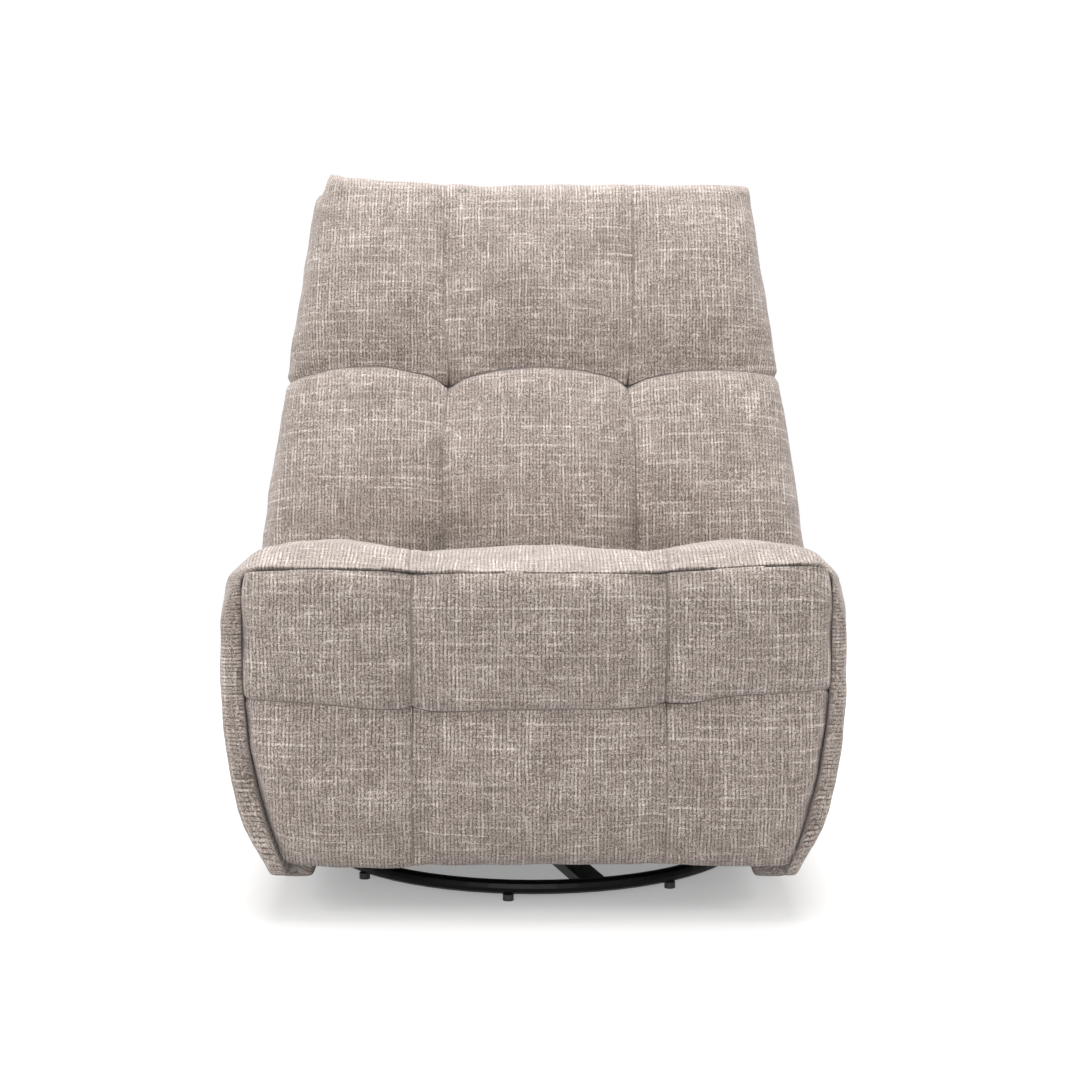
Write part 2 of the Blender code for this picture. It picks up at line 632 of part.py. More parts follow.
# Seat cushion: crowned columns, round shoulders, a nose that reaches over the footrest
cushion_ps = both_ways((0, 0.15, 0.30, 0.38, 0.41, 0.44, 0.56, FLANK_P, 0.80, 0.90, 0.96, 1.0))
cushion_ys = (CUSHION_Y[0], -0.395, -0.370, PAD_Y[0] + 0.0005, SEAT_CREST_Y, CUSHION_STEP_Y - 0.0045,
              CUSHION_STEP_Y, -0.250, -0.150, -0.050, 0.020, CUSHION_Y[1])
seat_seams = (-0.40, -SEAM_X, SEAM_X, 0.40)
bm = gridded_block(cushion_ps, cushion_ys, (0, 0.5, 1))
for v in bm.verts:
    p, y, q = v.co
    nose = max(0.0, (SEAT_CREST_Y - y) / (SEAT_CREST_Y - CUSHION_Y[0]))
    fall = max(0.0, y - SEAT_CREST_Y)
    rise = 0.010 + 0.010 * abs(p)
    top = SEAT_RIDGE_Z - SEAT_SLOPE * fall + rise * puff(p * BODY_HALF_WIDTH, seat_seams)
    top -= 0.006 * nose ** 2 + 0.042 * abs(p) ** 16 * (1 - 0.7 * nose)
    under = CUSHION_BOTTOM_Z
    over_pad = y < SEAT_CREST_Y - 0.001
    if over_pad or (y < CUSHION_STEP_Y - 0.001 and abs(p) < FLANK_P + 0.001):
        share = (y - CUSHION_Y[0]) / (CUSHION_STEP_Y - CUSHION_Y[0])
        under = NOSE_UNDER_Z[0] + (NOSE_UNDER_Z[1] - NOSE_UNDER_Z[0]) * share
        top = max(top, under + 0.004)
    z = under + q * (top - under)
    v.co = (p * body_half(z) * (1 - 0.07 * nose ** 2 * p ** 4), y, z)
add("seat_cushion", to_mesh(bm, "seat_cushion"), fabric, smooth=50)

# Side pads
side_pad_in = BOARD_IN_X + BOARD_THICK + SEAT_GAP
side_pad_top = CUSHION_BOTTOM_Z - 0.001
side_ys = (SIDE_PAD_Y[0], -0.315, -0.260, -0.160, -0.050, 0.030, 0.0535, 0.060, 0.090, 0.130, 0.200, 0.260,
           0.300, SIDE_PAD_Y[1])
for side, sign in (("left", -1), ("right", 1)):
    bm = gridded_block((0, 0.5, 1), side_ys, (0, 0.08, 0.2, 0.35, 0.55, 0.75, 0.9, 1))
    for v in bm.verts:
        p, y, q = v.co
        z = BODY_BOTTOM_Z + q * (scoop(y, side_pad_top, SCOOP_RADIUS) - BODY_BOTTOM_Z)
        from_end = min((y - SIDE_PAD_Y[0]) / 0.03 + 0.5, (SIDE_PAD_Y[1] - y) / 0.16, 1.0)
        outer = body_half(z) - 0.022 * (1 - from_end) ** 2
        v.co = (sign * (side_pad_in + p * (outer - side_pad_in)), y, z)
    pad = add(f"side_pad_{side}", to_mesh(bm, "side_pad"), fabric, smooth=50)
    if side == "left":
        cup_face_x = CUP_INSET - body_half(LATCH_Z)
        cup_lo = Vector((cup_face_x, LATCH_Y - CUP_SIZE.y / 2, LATCH_Z - CUP_SIZE.z / 2))
        cup_hi = cup_lo + CUP_SIZE
        play = Vector((SEAT_GAP, SEAT_GAP, SEAT_GAP))
        rim = Vector((0, FLANGE_RIM, FLANGE_RIM))
        outside = Vector((0.020, 0, 0))
        flange_back = Vector((cup_face_x + CUP_WALL, cup_hi.y, cup_hi.z))
        boolean(pad, box(cup_lo - play - outside, cup_hi + play), "latch_pocket", 'DIFFERENCE')
        boolean(pad, box(cup_lo - rim - play - outside, flange_back + rim + play), "latch_rim_pocket",
                'DIFFERENCE')
        hole = pins([(LATCH_Y, LATCH_Z)], CABLE_RADIUS + 2 * PIN_PLAY, cup_hi.x - 0.002, -BOARD_IN_X + 0.002)
        boolean(pad, hole, "latch_cable_hole", 'DIFFERENCE')

# Release handle: cup, lever and its cable into the mechanism
cup = add("latch_cup", box(cup_lo, cup_hi), black_plastic)
rim_plate = box(cup_lo - rim, flange_back + rim)
boolean(cup, rim_plate, "latch_cup_rim", 'UNION')
wall = Vector((CUP_WALL, CUP_WALL, CUP_WALL))
boolean(cup, box(cup_lo + wall - outside, cup_hi - wall), "latch_cup_inside", 'DIFFERENCE')
lever_y = cup_lo.y + LEVER_PIN_INSET
lever_x = cup_face_x + LAYER_GAP + LEVER_THICK / 2
lever_axis = empty("lever_axis", lever_x, lever_y, LATCH_Z, chair)
lever_half = CUP_SIZE.z / 2 - CUP_WALL - LAYER_GAP / 2
lever = add("latch_lever", box((lever_x - LEVER_THICK / 2, lever_y, LATCH_Z - lever_half),
                               (lever_x + LEVER_THICK / 2, lever_y + LEVER_LENGTH, LATCH_Z + lever_half)),
            black_plastic, lever_axis)
barrel = upright(LEVER_THICK / 2, LATCH_Z - CUP_SIZE.z / 2 + CUP_WALL + SEAT_GAP,
                 LATCH_Z + CUP_SIZE.z / 2 - CUP_WALL - SEAT_GAP, (lever_x, lever_y), 12)
boolean(lever, barrel, "latch_lever_barrel", 'UNION', lever_axis)
board = bpy.data.objects["side_board_left"]
hole = pins([(LATCH_Y, LATCH_Z)], CABLE_RADIUS + 2 * PIN_PLAY,
            -BOARD_IN_X - BOARD_THICK - 0.002, -BOARD_IN_X + 0.002)
boolean(board, hole, "board_cable_hole", 'DIFFERENCE')
cable = pins([(LATCH_Y, LATCH_Z)], CABLE_RADIUS, cup_hi.x + SEAT_GAP, -plate_x - STEEL - SEAT_GAP)
add("release_cable", cable, black_plastic)

# Footrest: board and the padded front panel
foot_board_y = PAD_Y[0] + SEAT_GAP
foot_board_half = BOARD_IN_X + BOARD_OVERLAP
foot_board = box((-foot_board_half, foot_board_y, BOARD_Z[0]),
                 (foot_board_half, foot_board_y + FOOT_BOARD_THICK, BOARD_Z[1]))
add("footrest_board", foot_board, plywood, foot_axis)
pad_ps = both_ways((0, 0.15, 0.30, 0.40, 0.43, 0.46, 0.60, 0.80, 0.94, 1.0))
pad_zs = (PAD_Z[0], 0.088, 0.130, 0.190, 0.250, 0.286, PAD_SEAM_Z, 0.310, 0.350, 0.405, 0.445, PAD_Z[1])
pad_seams = (-PAD_HALF_WIDTH, -SEAM_X, SEAM_X, PAD_HALF_WIDTH)
bm = gridded_block(pad_ps, (0, 0.5, 1), pad_zs)
for v in bm.verts:
    p, f, z = v.co
    low = max(0.0, (BODY_WIDEST_Z - z) / (BODY_WIDEST_Z - PAD_Z[0]))
    half = PAD_HALF_WIDTH - PAD_BOTTOM_DRAW * low ** 2.5
    crown = PAD_CROWN * puff(p * PAD_HALF_WIDTH, pad_seams) * puff(z, (PAD_Z[0], PAD_SEAM_Z, PAD_Z[1]))
    front = PAD_Y[1] - crown + 0.012 * low ** 4
    y = front + f * (PAD_Y[0] - front)
    near_top = max(0.0, (z - 0.405) / (PAD_Z[1] - 0.405))
    v.co = (p * half, y, z - PAD_TOP_FALL * f * near_top)
add("footrest_pad", to_mesh(bm, "footrest_pad"), fabric, foot_axis, smooth=50)

# Back: frame in the leaning plane, padded front, outer back
lean = Matrix(((1, 0, 0, 0), (0, sin(BACK_LEAN), -cos(BACK_LEAN), HINGE_Y),
               (0, cos(BACK_LEAN), sin(BACK_LEAN), HINGE_Z), (0, 0, 0, 1)))
frame_half = lower_x - SEAT_GAP
inner = frame_half - FRAME_STILE


def rectangle(x, t0, t1):
    return [(-x, t0), (x, t0), (x, t1), (-x, t1)]


frame = flat((rectangle(frame_half, *FRAME_T),
              rectangle(inner, FRAME_T[0] + FRAME_RAIL, FRAME_MID_T - FRAME_RAIL / 2),
              rectangle(inner, FRAME_MID_T + FRAME_RAIL / 2, FRAME_T[1] - FRAME_RAIL)),
             2 * FRAME_HALF_THICK, lean)
add("back_frame", frame, plywood, recline)


def back_half(t, top):
    share = max(0.0, t) / BACK_TOP_T
    return BACK_BOTTOM_HALF + (top - BACK_BOTTOM_HALF) * share


def foot_of_back(t, n):
    """Thickness from the middle plane: full above the hinge, a round knuckle below it."""
    if t >= 0:
        return n
    return n * sqrt(max(0.0, 1 - (t / BACK_KNUCKLE) ** 2))


def slots(on, name):
    """Slots in which the mechanism plates reach the hinge."""
    for side, sign in (("left", -1), ("right", 1)):
        disc = pins([hinge], SCOOP_RADIUS, *side_x(sign, lower_x - 0.002, BOARD_IN_X + 0.001), 32)
        boolean(on, disc, f"{name}_slot_{side}", 'DIFFERENCE', recline)


split_n = -FRAME_HALF_THICK - SEAT_GAP
seam_p = BACK_SEAM_X / BACK_BOTTOM_HALF
back_ps = both_ways((0, 0.18, 0.31, seam_p, 0.415, 0.56, 0.74, 0.88, 0.96, 1.0))
back_ts = [BACK_KNUCKLE * share for share in (-0.97, -0.81, -0.46, -0.08)]
back_ts += [BACK_SEAM_T * share for share in (0.16, 0.38, 0.60, 0.80, 0.94, 1.0)]
back_ts += [BACK_SEAM_T + (BACK_TOP_T - BACK_SEAM_T) * share
            for share in (0.056, 0.214, 0.45, 0.68, 0.87, 0.965, 1)]
row_seams = (-0.3 * BACK_KNUCKLE, BACK_SEAM_T, BACK_TOP_T)
bm = gridded_block(back_ps, back_ts, (0, 0.5, 1))
for v in bm.verts:
    p, t, q = v.co
    half = back_half(t, BACK_TOP_HALF - 0.006) - 0.008 * (1 - q)
    across = abs(p)
    if across <= seam_p:
        x = across * BACK_SEAM_X / seam_p
    else:
        x = BACK_SEAM_X + (across - seam_p) / (1 - seam_p) * (half - BACK_SEAM_X)
    crown = BACK_LOW_CROWN if t < BACK_SEAM_T else BACK_HIGH_CROWN
    swell = crown * puff(x if p > 0 else -x, (-half, -BACK_SEAM_X, BACK_SEAM_X, half)) * puff(t, row_seams)
    front = foot_of_back(t, BACK_FRONT_N - 0.048 * max(0.0, t)) + swell
    v.co = (x if p > 0 else -x, t, split_n + q * (front - split_n))
bm.transform(lean)
back_pad = add("back_pad", to_mesh(bm, "back_pad"), fabric, recline, smooth=50)
pocket = box((-plate_x + 0.0004, FRAME_T[0] - 0.005, split_n - 0.02),
             (plate_x - 0.0004, FRAME_T[1] + 0.005, FRAME_HALF_THICK + 0.0005))
pocket.transform(lean)
boolean(back_pad, pocket, "back_pocket", 'DIFFERENCE', recline)
slots(back_pad, "back_pad")

outer_ts = [BACK_KNUCKLE * share for share in (-0.94, -0.77, -0.46, -0.08)]
outer_ts += [BACK_TOP_T * share for share in (0.09, 0.27, 0.49, 0.70, 0.867, 0.965, 1)]
bm = gridded_block(both_ways((0, 0.35, 0.70, 0.90, 0.97, 1.0)), outer_ts, (0, 0.5, 1))
for v in bm.verts:
    p, t, q = v.co
    rear = -foot_of_back(t, BACK_REAR_N - 0.050 * max(0.0, t))
    rear += OUTER_ROUND * (abs(p) ** 8 + max(0.0, (t / BACK_TOP_T - 0.867) / 0.133) ** 3)
    near = split_n - SEAT_GAP
    v.co = (p * (back_half(t, BACK_TOP_HALF) - 0.010 * (1 - q)), t, rear + q * (near - rear))
bm.transform(lean)
outer_back = add("outer_back", to_mesh(bm, "outer_back"), fabric, recline, smooth=50)
slots(outer_back, "outer_back")
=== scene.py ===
import json
from math import cos, pi, radians, sin

import bmesh
import bpy
import numpy as np
from mathutils import Matrix, Vector


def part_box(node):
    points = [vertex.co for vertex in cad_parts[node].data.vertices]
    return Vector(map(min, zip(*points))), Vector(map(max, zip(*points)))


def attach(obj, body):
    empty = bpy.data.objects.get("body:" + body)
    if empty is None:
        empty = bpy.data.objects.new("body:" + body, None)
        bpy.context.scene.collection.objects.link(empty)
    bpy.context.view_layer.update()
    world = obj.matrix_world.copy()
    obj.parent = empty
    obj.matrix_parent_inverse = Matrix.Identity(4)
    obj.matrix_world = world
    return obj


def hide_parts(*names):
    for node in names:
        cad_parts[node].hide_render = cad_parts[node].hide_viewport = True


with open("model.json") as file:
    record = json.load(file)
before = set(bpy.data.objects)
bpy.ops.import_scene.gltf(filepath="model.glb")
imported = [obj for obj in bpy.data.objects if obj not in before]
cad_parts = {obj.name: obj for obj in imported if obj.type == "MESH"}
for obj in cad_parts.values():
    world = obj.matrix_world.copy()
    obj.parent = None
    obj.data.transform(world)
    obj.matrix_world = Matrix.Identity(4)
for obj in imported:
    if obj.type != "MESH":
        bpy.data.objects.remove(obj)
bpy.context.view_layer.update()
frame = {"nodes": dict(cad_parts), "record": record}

scene = bpy.context.scene
nodes = frame["nodes"]

# Places in the frame, as the solids have them
AXIS_Y = -0.0360                 # swivel axis
HINGE_Y, HINGE_Z = 0.164, 0.360  # recline hinge
LEAN = radians(20.5)             # of the back
BACK_TOP = 0.658                 # up the back from the hinge, as is the cross seam
BACK_BOTTOM_HALF, BACK_TOP_HALF = 0.4215, 0.345
BACK_SEAM_X, BACK_SEAM_T = 0.150, 0.317
FRONT_SEAM_X, FRONT_SEAM_Z = 0.173, 0.298
PANEL_REAR = 0.335               # rear of the front panel, ahead of the swivel axis
NOSE_START, NOSE_LENGTH = -0.330, 0.075  # the seat's lip, from the swivel axis
LIP_ROOT_Z = 0.4412              # underside of the lip where it starts
SEAT_TOP_Z = 0.480
WIDEST_Z, BODY_HALF = 0.380, 0.426
SCOOP = 0.146                    # radius about the hinge of the room that the back turns in
PLATE_SLOT = (0.2835, 0.2980)    # across the chair, for the mechanism plates
PLATE_REACH = 0.055              # of those plates behind the hinge, at full recline
BACK_FACE, OUTER_FACE = (0.128, -0.048), (-0.118, 0.050)  # at the hinge, and slope up the back
PANEL_FACE_Y, PANEL_SIDE_Y = -0.448, -0.431  # of the front panel, in its middle and at its sides
REAR_FACE_Y, REAR_HELD_Y = 0.290, 0.283      # of the rear panel, and where its cloth is held

# Places of the covers
FOOT_RADIUS = 0.1345             # of the back's foot about the hinge
SEAT_REAR_RADIUS = 0.1340        # of the seat's rear edge about the hinge
SEAM_HELD = 0.0055               # cloth held on either side of a seam
JOIN_MIDDLE = (0.368, -0.174, 0.371)  # of the web that joins the cushion to a side pad
JOIN_SIZE = (0.106, 0.370, 0.010)
CHEEK_FRONT, CHEEK_DEPTH = -0.394, 0.094  # of the thin cheeks beside the front panel
CHEEK_BOTTOM, CHEEK_HEIGHT = 0.060, 0.404

# Cloth: thread spacing and yarn colours from dark gaps to light slubs
WARP_PITCH, WEFT_PITCH = 0.0050, 0.0054
THICK_YARN_EVERY = 0.0155
YARN_TONES = ((0.0, (0.105, 0.082, 0.068)), (0.30, (0.225, 0.183, 0.156)),
              (0.56, (0.395, 0.336, 0.295)), (0.82, (0.62, 0.55, 0.505)),
              (1.0, (0.80, 0.735, 0.69)))
MIDDLE_TONE, TONE_CONTRAST = 0.488, 1.46
# Seam colour: a dark stitch line, with painted shade in the folds of the seams
SEAM_STITCH_AND_PAINTED_SHADE = (0.055, 0.042, 0.035, 1)
SEAM_WIDTH = (0.0004, 0.0022)    # where a seam's shade starts to fade and where it ends
PANEL_CUT = (0.031, 0.0113)      # step on the cloth from one panel to the next
OUTER_BACK_CUT, REAR_PANEL_CUT = 0.31, 0.7

# Swelling of the covers
SWELL_FRAMES = 20
CLOTH = {"quality": 4, "mass": 0.3, "tension_stiffness": 18, "compression_stiffness": 18,
         "shear_stiffness": 8, "bending_stiffness": 1.5}

# What the photograph shows off centre. The back's cross seam rises in three arches between the
# sides and two tufts, and the front's one sags: places across the chair, and heights there over
# the solids' straight seams.
SCALLOP_ENDS = (-0.389, -0.131, 0.154, 0.426)
SCALLOP_RISE = (0.0290, 0.0275, 0.0235)
TUFT_DROP = 0.0028
FRONT_SAG = ((-0.38, -0.16, 0.18, 0.25, 0.40),
             (0.003, -0.0145, -0.008, 0.005, 0.017))
BACK_SEAM_SHIFT = 0.011
FRONT_SHIFT, FRONT_EDGE_SHIFT = 0.0085, 0.0042
FRONT_HALF, FRONT_NARROW = 0.402, 0.978
PANEL_GAP = 0.0006
EAR_X = -0.324                   # the raised corner at the top of the back

# Camera as fitted to the photograph
CAMERA_LENS, SENSOR_WIDTH = 79.8, 36.0
CAMERA_AWAY, CAMERA_HEIGHT, CAMERA_DIP = 3.5, 0.892, 6.8

WHITE = (1, 1, 1, 1)


# Meshes as arrays

def points(ob):
    co = np.empty(len(ob.data.vertices) * 3)
    ob.data.vertices.foreach_get("co", co)
    return co.reshape(-1, 3)


def move(ob, co):
    ob.data.vertices.foreach_set("co", np.ascontiguousarray(co).ravel())
    ob.data.update()


def outward(ob):
    n = np.empty(len(ob.data.vertices) * 3)
    ob.data.vertex_normals.foreach_get("vector", n)
    return n.reshape(-1, 3)


def write_attribute(ob, name, values):
    att = ob.data.attributes.new(name, 'FLOAT_VECTOR', 'POINT')
    att.data.foreach_set("vector", np.ascontiguousarray(values).ravel())


def read_attribute(ob, name):
    values = np.empty(len(ob.data.vertices) * 3)
    ob.data.attributes[name].data.foreach_get("vector", values)
    return values.reshape(-1, 3)


def ease(a, b, x):
    """0 at a, 1 at b, with a smooth step between."""
    q = np.clip((x - a) / (b - a), 0, 1)
    return q * q * (3 - 2 * q)


def hump(x, width):
    """1 at 0, falling off to either side."""
    return np.exp(-(x / width) ** 2)


def even_out(ob, times, share=0.5, free=None):
    """Draw every point towards the middle of its neighbours."""
    co = points(ob)
    ends = np.empty(len(ob.data.edges) * 2, dtype=np.int64)
    ob.data.edges.foreach_get("vertices", ends)
    a, b = ends.reshape(-1, 2).T
    count = np.bincount(np.concatenate((a, b)), minlength=len(co))[:, None]
    amount = share if free is None else share * free[:, None]
    for _ in range(times):
        total = np.zeros_like(co)
        for axis in range(3):
            total[:, axis] = (np.bincount(a, co[b, axis], len(co))
                              + np.bincount(b, co[a, axis], len(co)))
        co += amount * (total / count - co)
    move(ob, co)


def link(ob):
    scene.collection.objects.link(ob)
    return ob


def apply_modifiers(ob):
    seen = ob.evaluated_get(bpy.context.evaluated_depsgraph_get())
    mesh = bpy.data.meshes.new_from_object(seen)
    old = ob.data
    ob.modifiers.clear()
    ob.data = mesh
    bpy.data.meshes.remove(old)


def add_to(bm, other):
    mesh = bpy.data.meshes.new("added")
    other.to_mesh(mesh)
    other.free()
    bm.from_mesh(mesh)
    bpy.data.meshes.remove(mesh)


def cover_of(name, *solids, mirrored=()):
    """The CAD solids that a cover stands for, in one mesh."""
    bm = bmesh.new()
    for solid in solids:
        bm.from_mesh(nodes[solid].data)
    if mirrored:
        other = bmesh.new()
        for solid in mirrored:
            other.from_mesh(nodes[solid].data)
        flip = Matrix.Scale(-1, 4, Vector((1, 0, 0)))
        bmesh.ops.transform(other, matrix=flip, verts=other.verts[:])
        bmesh.ops.reverse_faces(other, faces=other.faces[:])
        add_to(bm, other)
    bmesh.ops.remove_doubles(bm, verts=bm.verts[:], dist=1e-5)
    mesh = bpy.data.meshes.new(name)
    bm.to_mesh(mesh)
    bm.free()
    return link(bpy.data.objects.new(name, mesh))


def skin(ob, voxel):
    """Even mesh over the outside, for the cloth."""
    mod = ob.modifiers.new("skin", 'REMESH')
    mod.mode = 'VOXEL'
    mod.voxel_size = voxel
    apply_modifiers(ob)


def stuff(ob, held, pressure, cap):
    """Cloth under pressure: the held points stay, the rest swells between them up to the cap."""
    start = points(ob)
    group = ob.vertex_groups.new(name="held")
    group.add(np.flatnonzero(held).tolist(), 1.0, 'REPLACE')
    mod = ob.modifiers.new("fill", 'CLOTH')
    cloth = mod.settings
    for setting, value in CLOTH.items():
        setattr(cloth, setting, value)
    cloth.use_pressure = True
    cloth.uniform_pressure_force = pressure
    cloth.effector_weights.gravity = 0
    cloth.vertex_group_mass = "held"
    mod.collision_settings.use_collision = False
    mod.point_cache.frame_start = 1
    mod.point_cache.frame_end = SWELL_FRAMES
    for number in range(1, SWELL_FRAMES + 1):
        scene.frame_set(number)
    seen = ob.evaluated_get(bpy.context.evaluated_depsgraph_get())
    swollen = np.empty(len(start) * 3)
    seen.data.vertices.foreach_get("co", swollen)
    ob.modifiers.remove(mod)
    ob.vertex_groups.remove(group)
    scene.frame_set(1)
    step = swollen.reshape(-1, 3) - start
    length = np.linalg.norm(step, axis=1, keepdims=True)
    move(ob, start + step * np.minimum(1, cap / np.maximum(length, 1e-9)))


def finer(ob):
    """Four faces for each, smoothed."""
    mod = ob.modifiers.new("finer", 'SUBSURF')
    mod.levels = 1
    mod.render_levels = 1
    apply_modifiers(ob)


def hand_made(co):
    """Small unevenness of hand-stuffed upholstery."""
    x, y, z = co.T
    return (0.0012 * np.sin(23 * x + 11 * z + 2) * np.sin(17 * z + 9 * y)
            + 0.0008 * np.sin(51 * x - 23 * z + 1) * np.sin(37 * z + 29 * x + 4)
            + 0.0005 * np.sin(83 * z + 41 * y) * np.sin(71 * x + 3))


def on_cloth(u, v):
    return np.stack((u, v, 0 * u), axis=1)


def cut_apart(u, v, panel):
    """Weave places, with each panel cut from its own place on the cloth."""
    return on_cloth(u + PANEL_CUT[0] * panel, v + PANEL_CUT[1] * panel)


def upholster(ob, body, solids, weave, seams_and_painted_shade):
    """Finish a cover: its place in the weave, distances from its seams with the strength of their
    dark line and painted shade, cloth and body.
    """
    write_attribute(ob, "weave", weave)
    write_attribute(ob, "seams_and_painted_shade", seams_and_painted_shade)
    if "rest" in ob.data.attributes:
        ob.data.attributes.remove(ob.data.attributes["rest"])
    ob.data.materials.clear()
    ob.data.materials.append(chenille)
    ob.data.shade_smooth()
    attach(ob, body)
    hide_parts(*solids)


# Materials

class Nodes:
    """A material's or the world's node tree, built up one node at a time."""

    def __init__(self, owner):
        owner.use_nodes = True
        self.owner = owner
        self.tree = owner.node_tree

    def new(self, kind, inputs=(), **settings):
        node = self.tree.nodes.new(kind)
        for key, value in settings.items():
            setattr(node, key, value)
        for socket, value in dict(inputs).items():
            if isinstance(value, bpy.types.NodeSocket):
                self.tree.links.new(value, node.inputs[socket])
            else:
                node.inputs[socket].default_value = value
        return node

    def math(self, operation, a, b=None):
        inputs = {0: a} if b is None else {0: a, 1: b}
        return self.new("ShaderNodeMath", inputs, operation=operation).outputs[0]

    def vector(self, x, y):
        return self.new("ShaderNodeCombineXYZ", {0: x, 1: y}).outputs[0]

    def place(self):
        """Places on the piece itself."""
        return self.new("ShaderNodeTexCoord").outputs["Object"]

    def grain(self, scale):
        """Places on the piece, pressed together by scale so that noise runs along the grain."""
        return self.new("ShaderNodeMapping", {"Vector": self.place(), "Scale": scale}).outputs[0]

    def noise(self, vector, scale, detail=2.0, rough=0.5):
        return self.new("ShaderNodeTexNoise", {"Vector": vector, "Scale": scale, "Detail": detail,
                                               "Roughness": rough}).outputs[0]

    def ramp(self, fac, *stops):
        node = self.new("ShaderNodeValToRGB", {"Fac": fac})
        for element, (place, colour) in zip(node.color_ramp.elements, (stops[0], stops[-1])):
            element.position = place
            element.color = (*colour, 1)
        for place, colour in stops[1:-1]:
            node.color_ramp.elements.new(place).color = (*colour, 1)
        return node.outputs[0]

    def scaled(self, value, low, high):
        inputs = {"Value": value, "To Min": low, "To Max": high}
        return self.new("ShaderNodeMapRange", inputs).outputs[0]

    def between(self, value, low, high):
        inputs = {"Value": value, "From Min": low, "From Max": high}
        return self.new("ShaderNodeMapRange", inputs, interpolation_type='SMOOTHSTEP').outputs[0]

    def mixed(self, fac, a, b):
        return self.new("ShaderNodeMix", {0: fac, 6: a, 7: b}, data_type='RGBA').outputs[2]

    def bump(self, height, strength, distance):
        return self.new("ShaderNodeBump", {"Height": height, "Strength": strength,
                                           "Distance": distance}).outputs[0]

    def surface(self, **inputs):
        for name, value in inputs.items():
            socket = self.tree.nodes["Principled BSDF"].inputs[name.replace("_", " ")]
            if isinstance(value, bpy.types.NodeSocket):
                self.tree.links.new(value, socket)
            else:
                socket.default_value = value
        return self.owner


def new_material(name):
    return Nodes(bpy.data.materials.new(name))


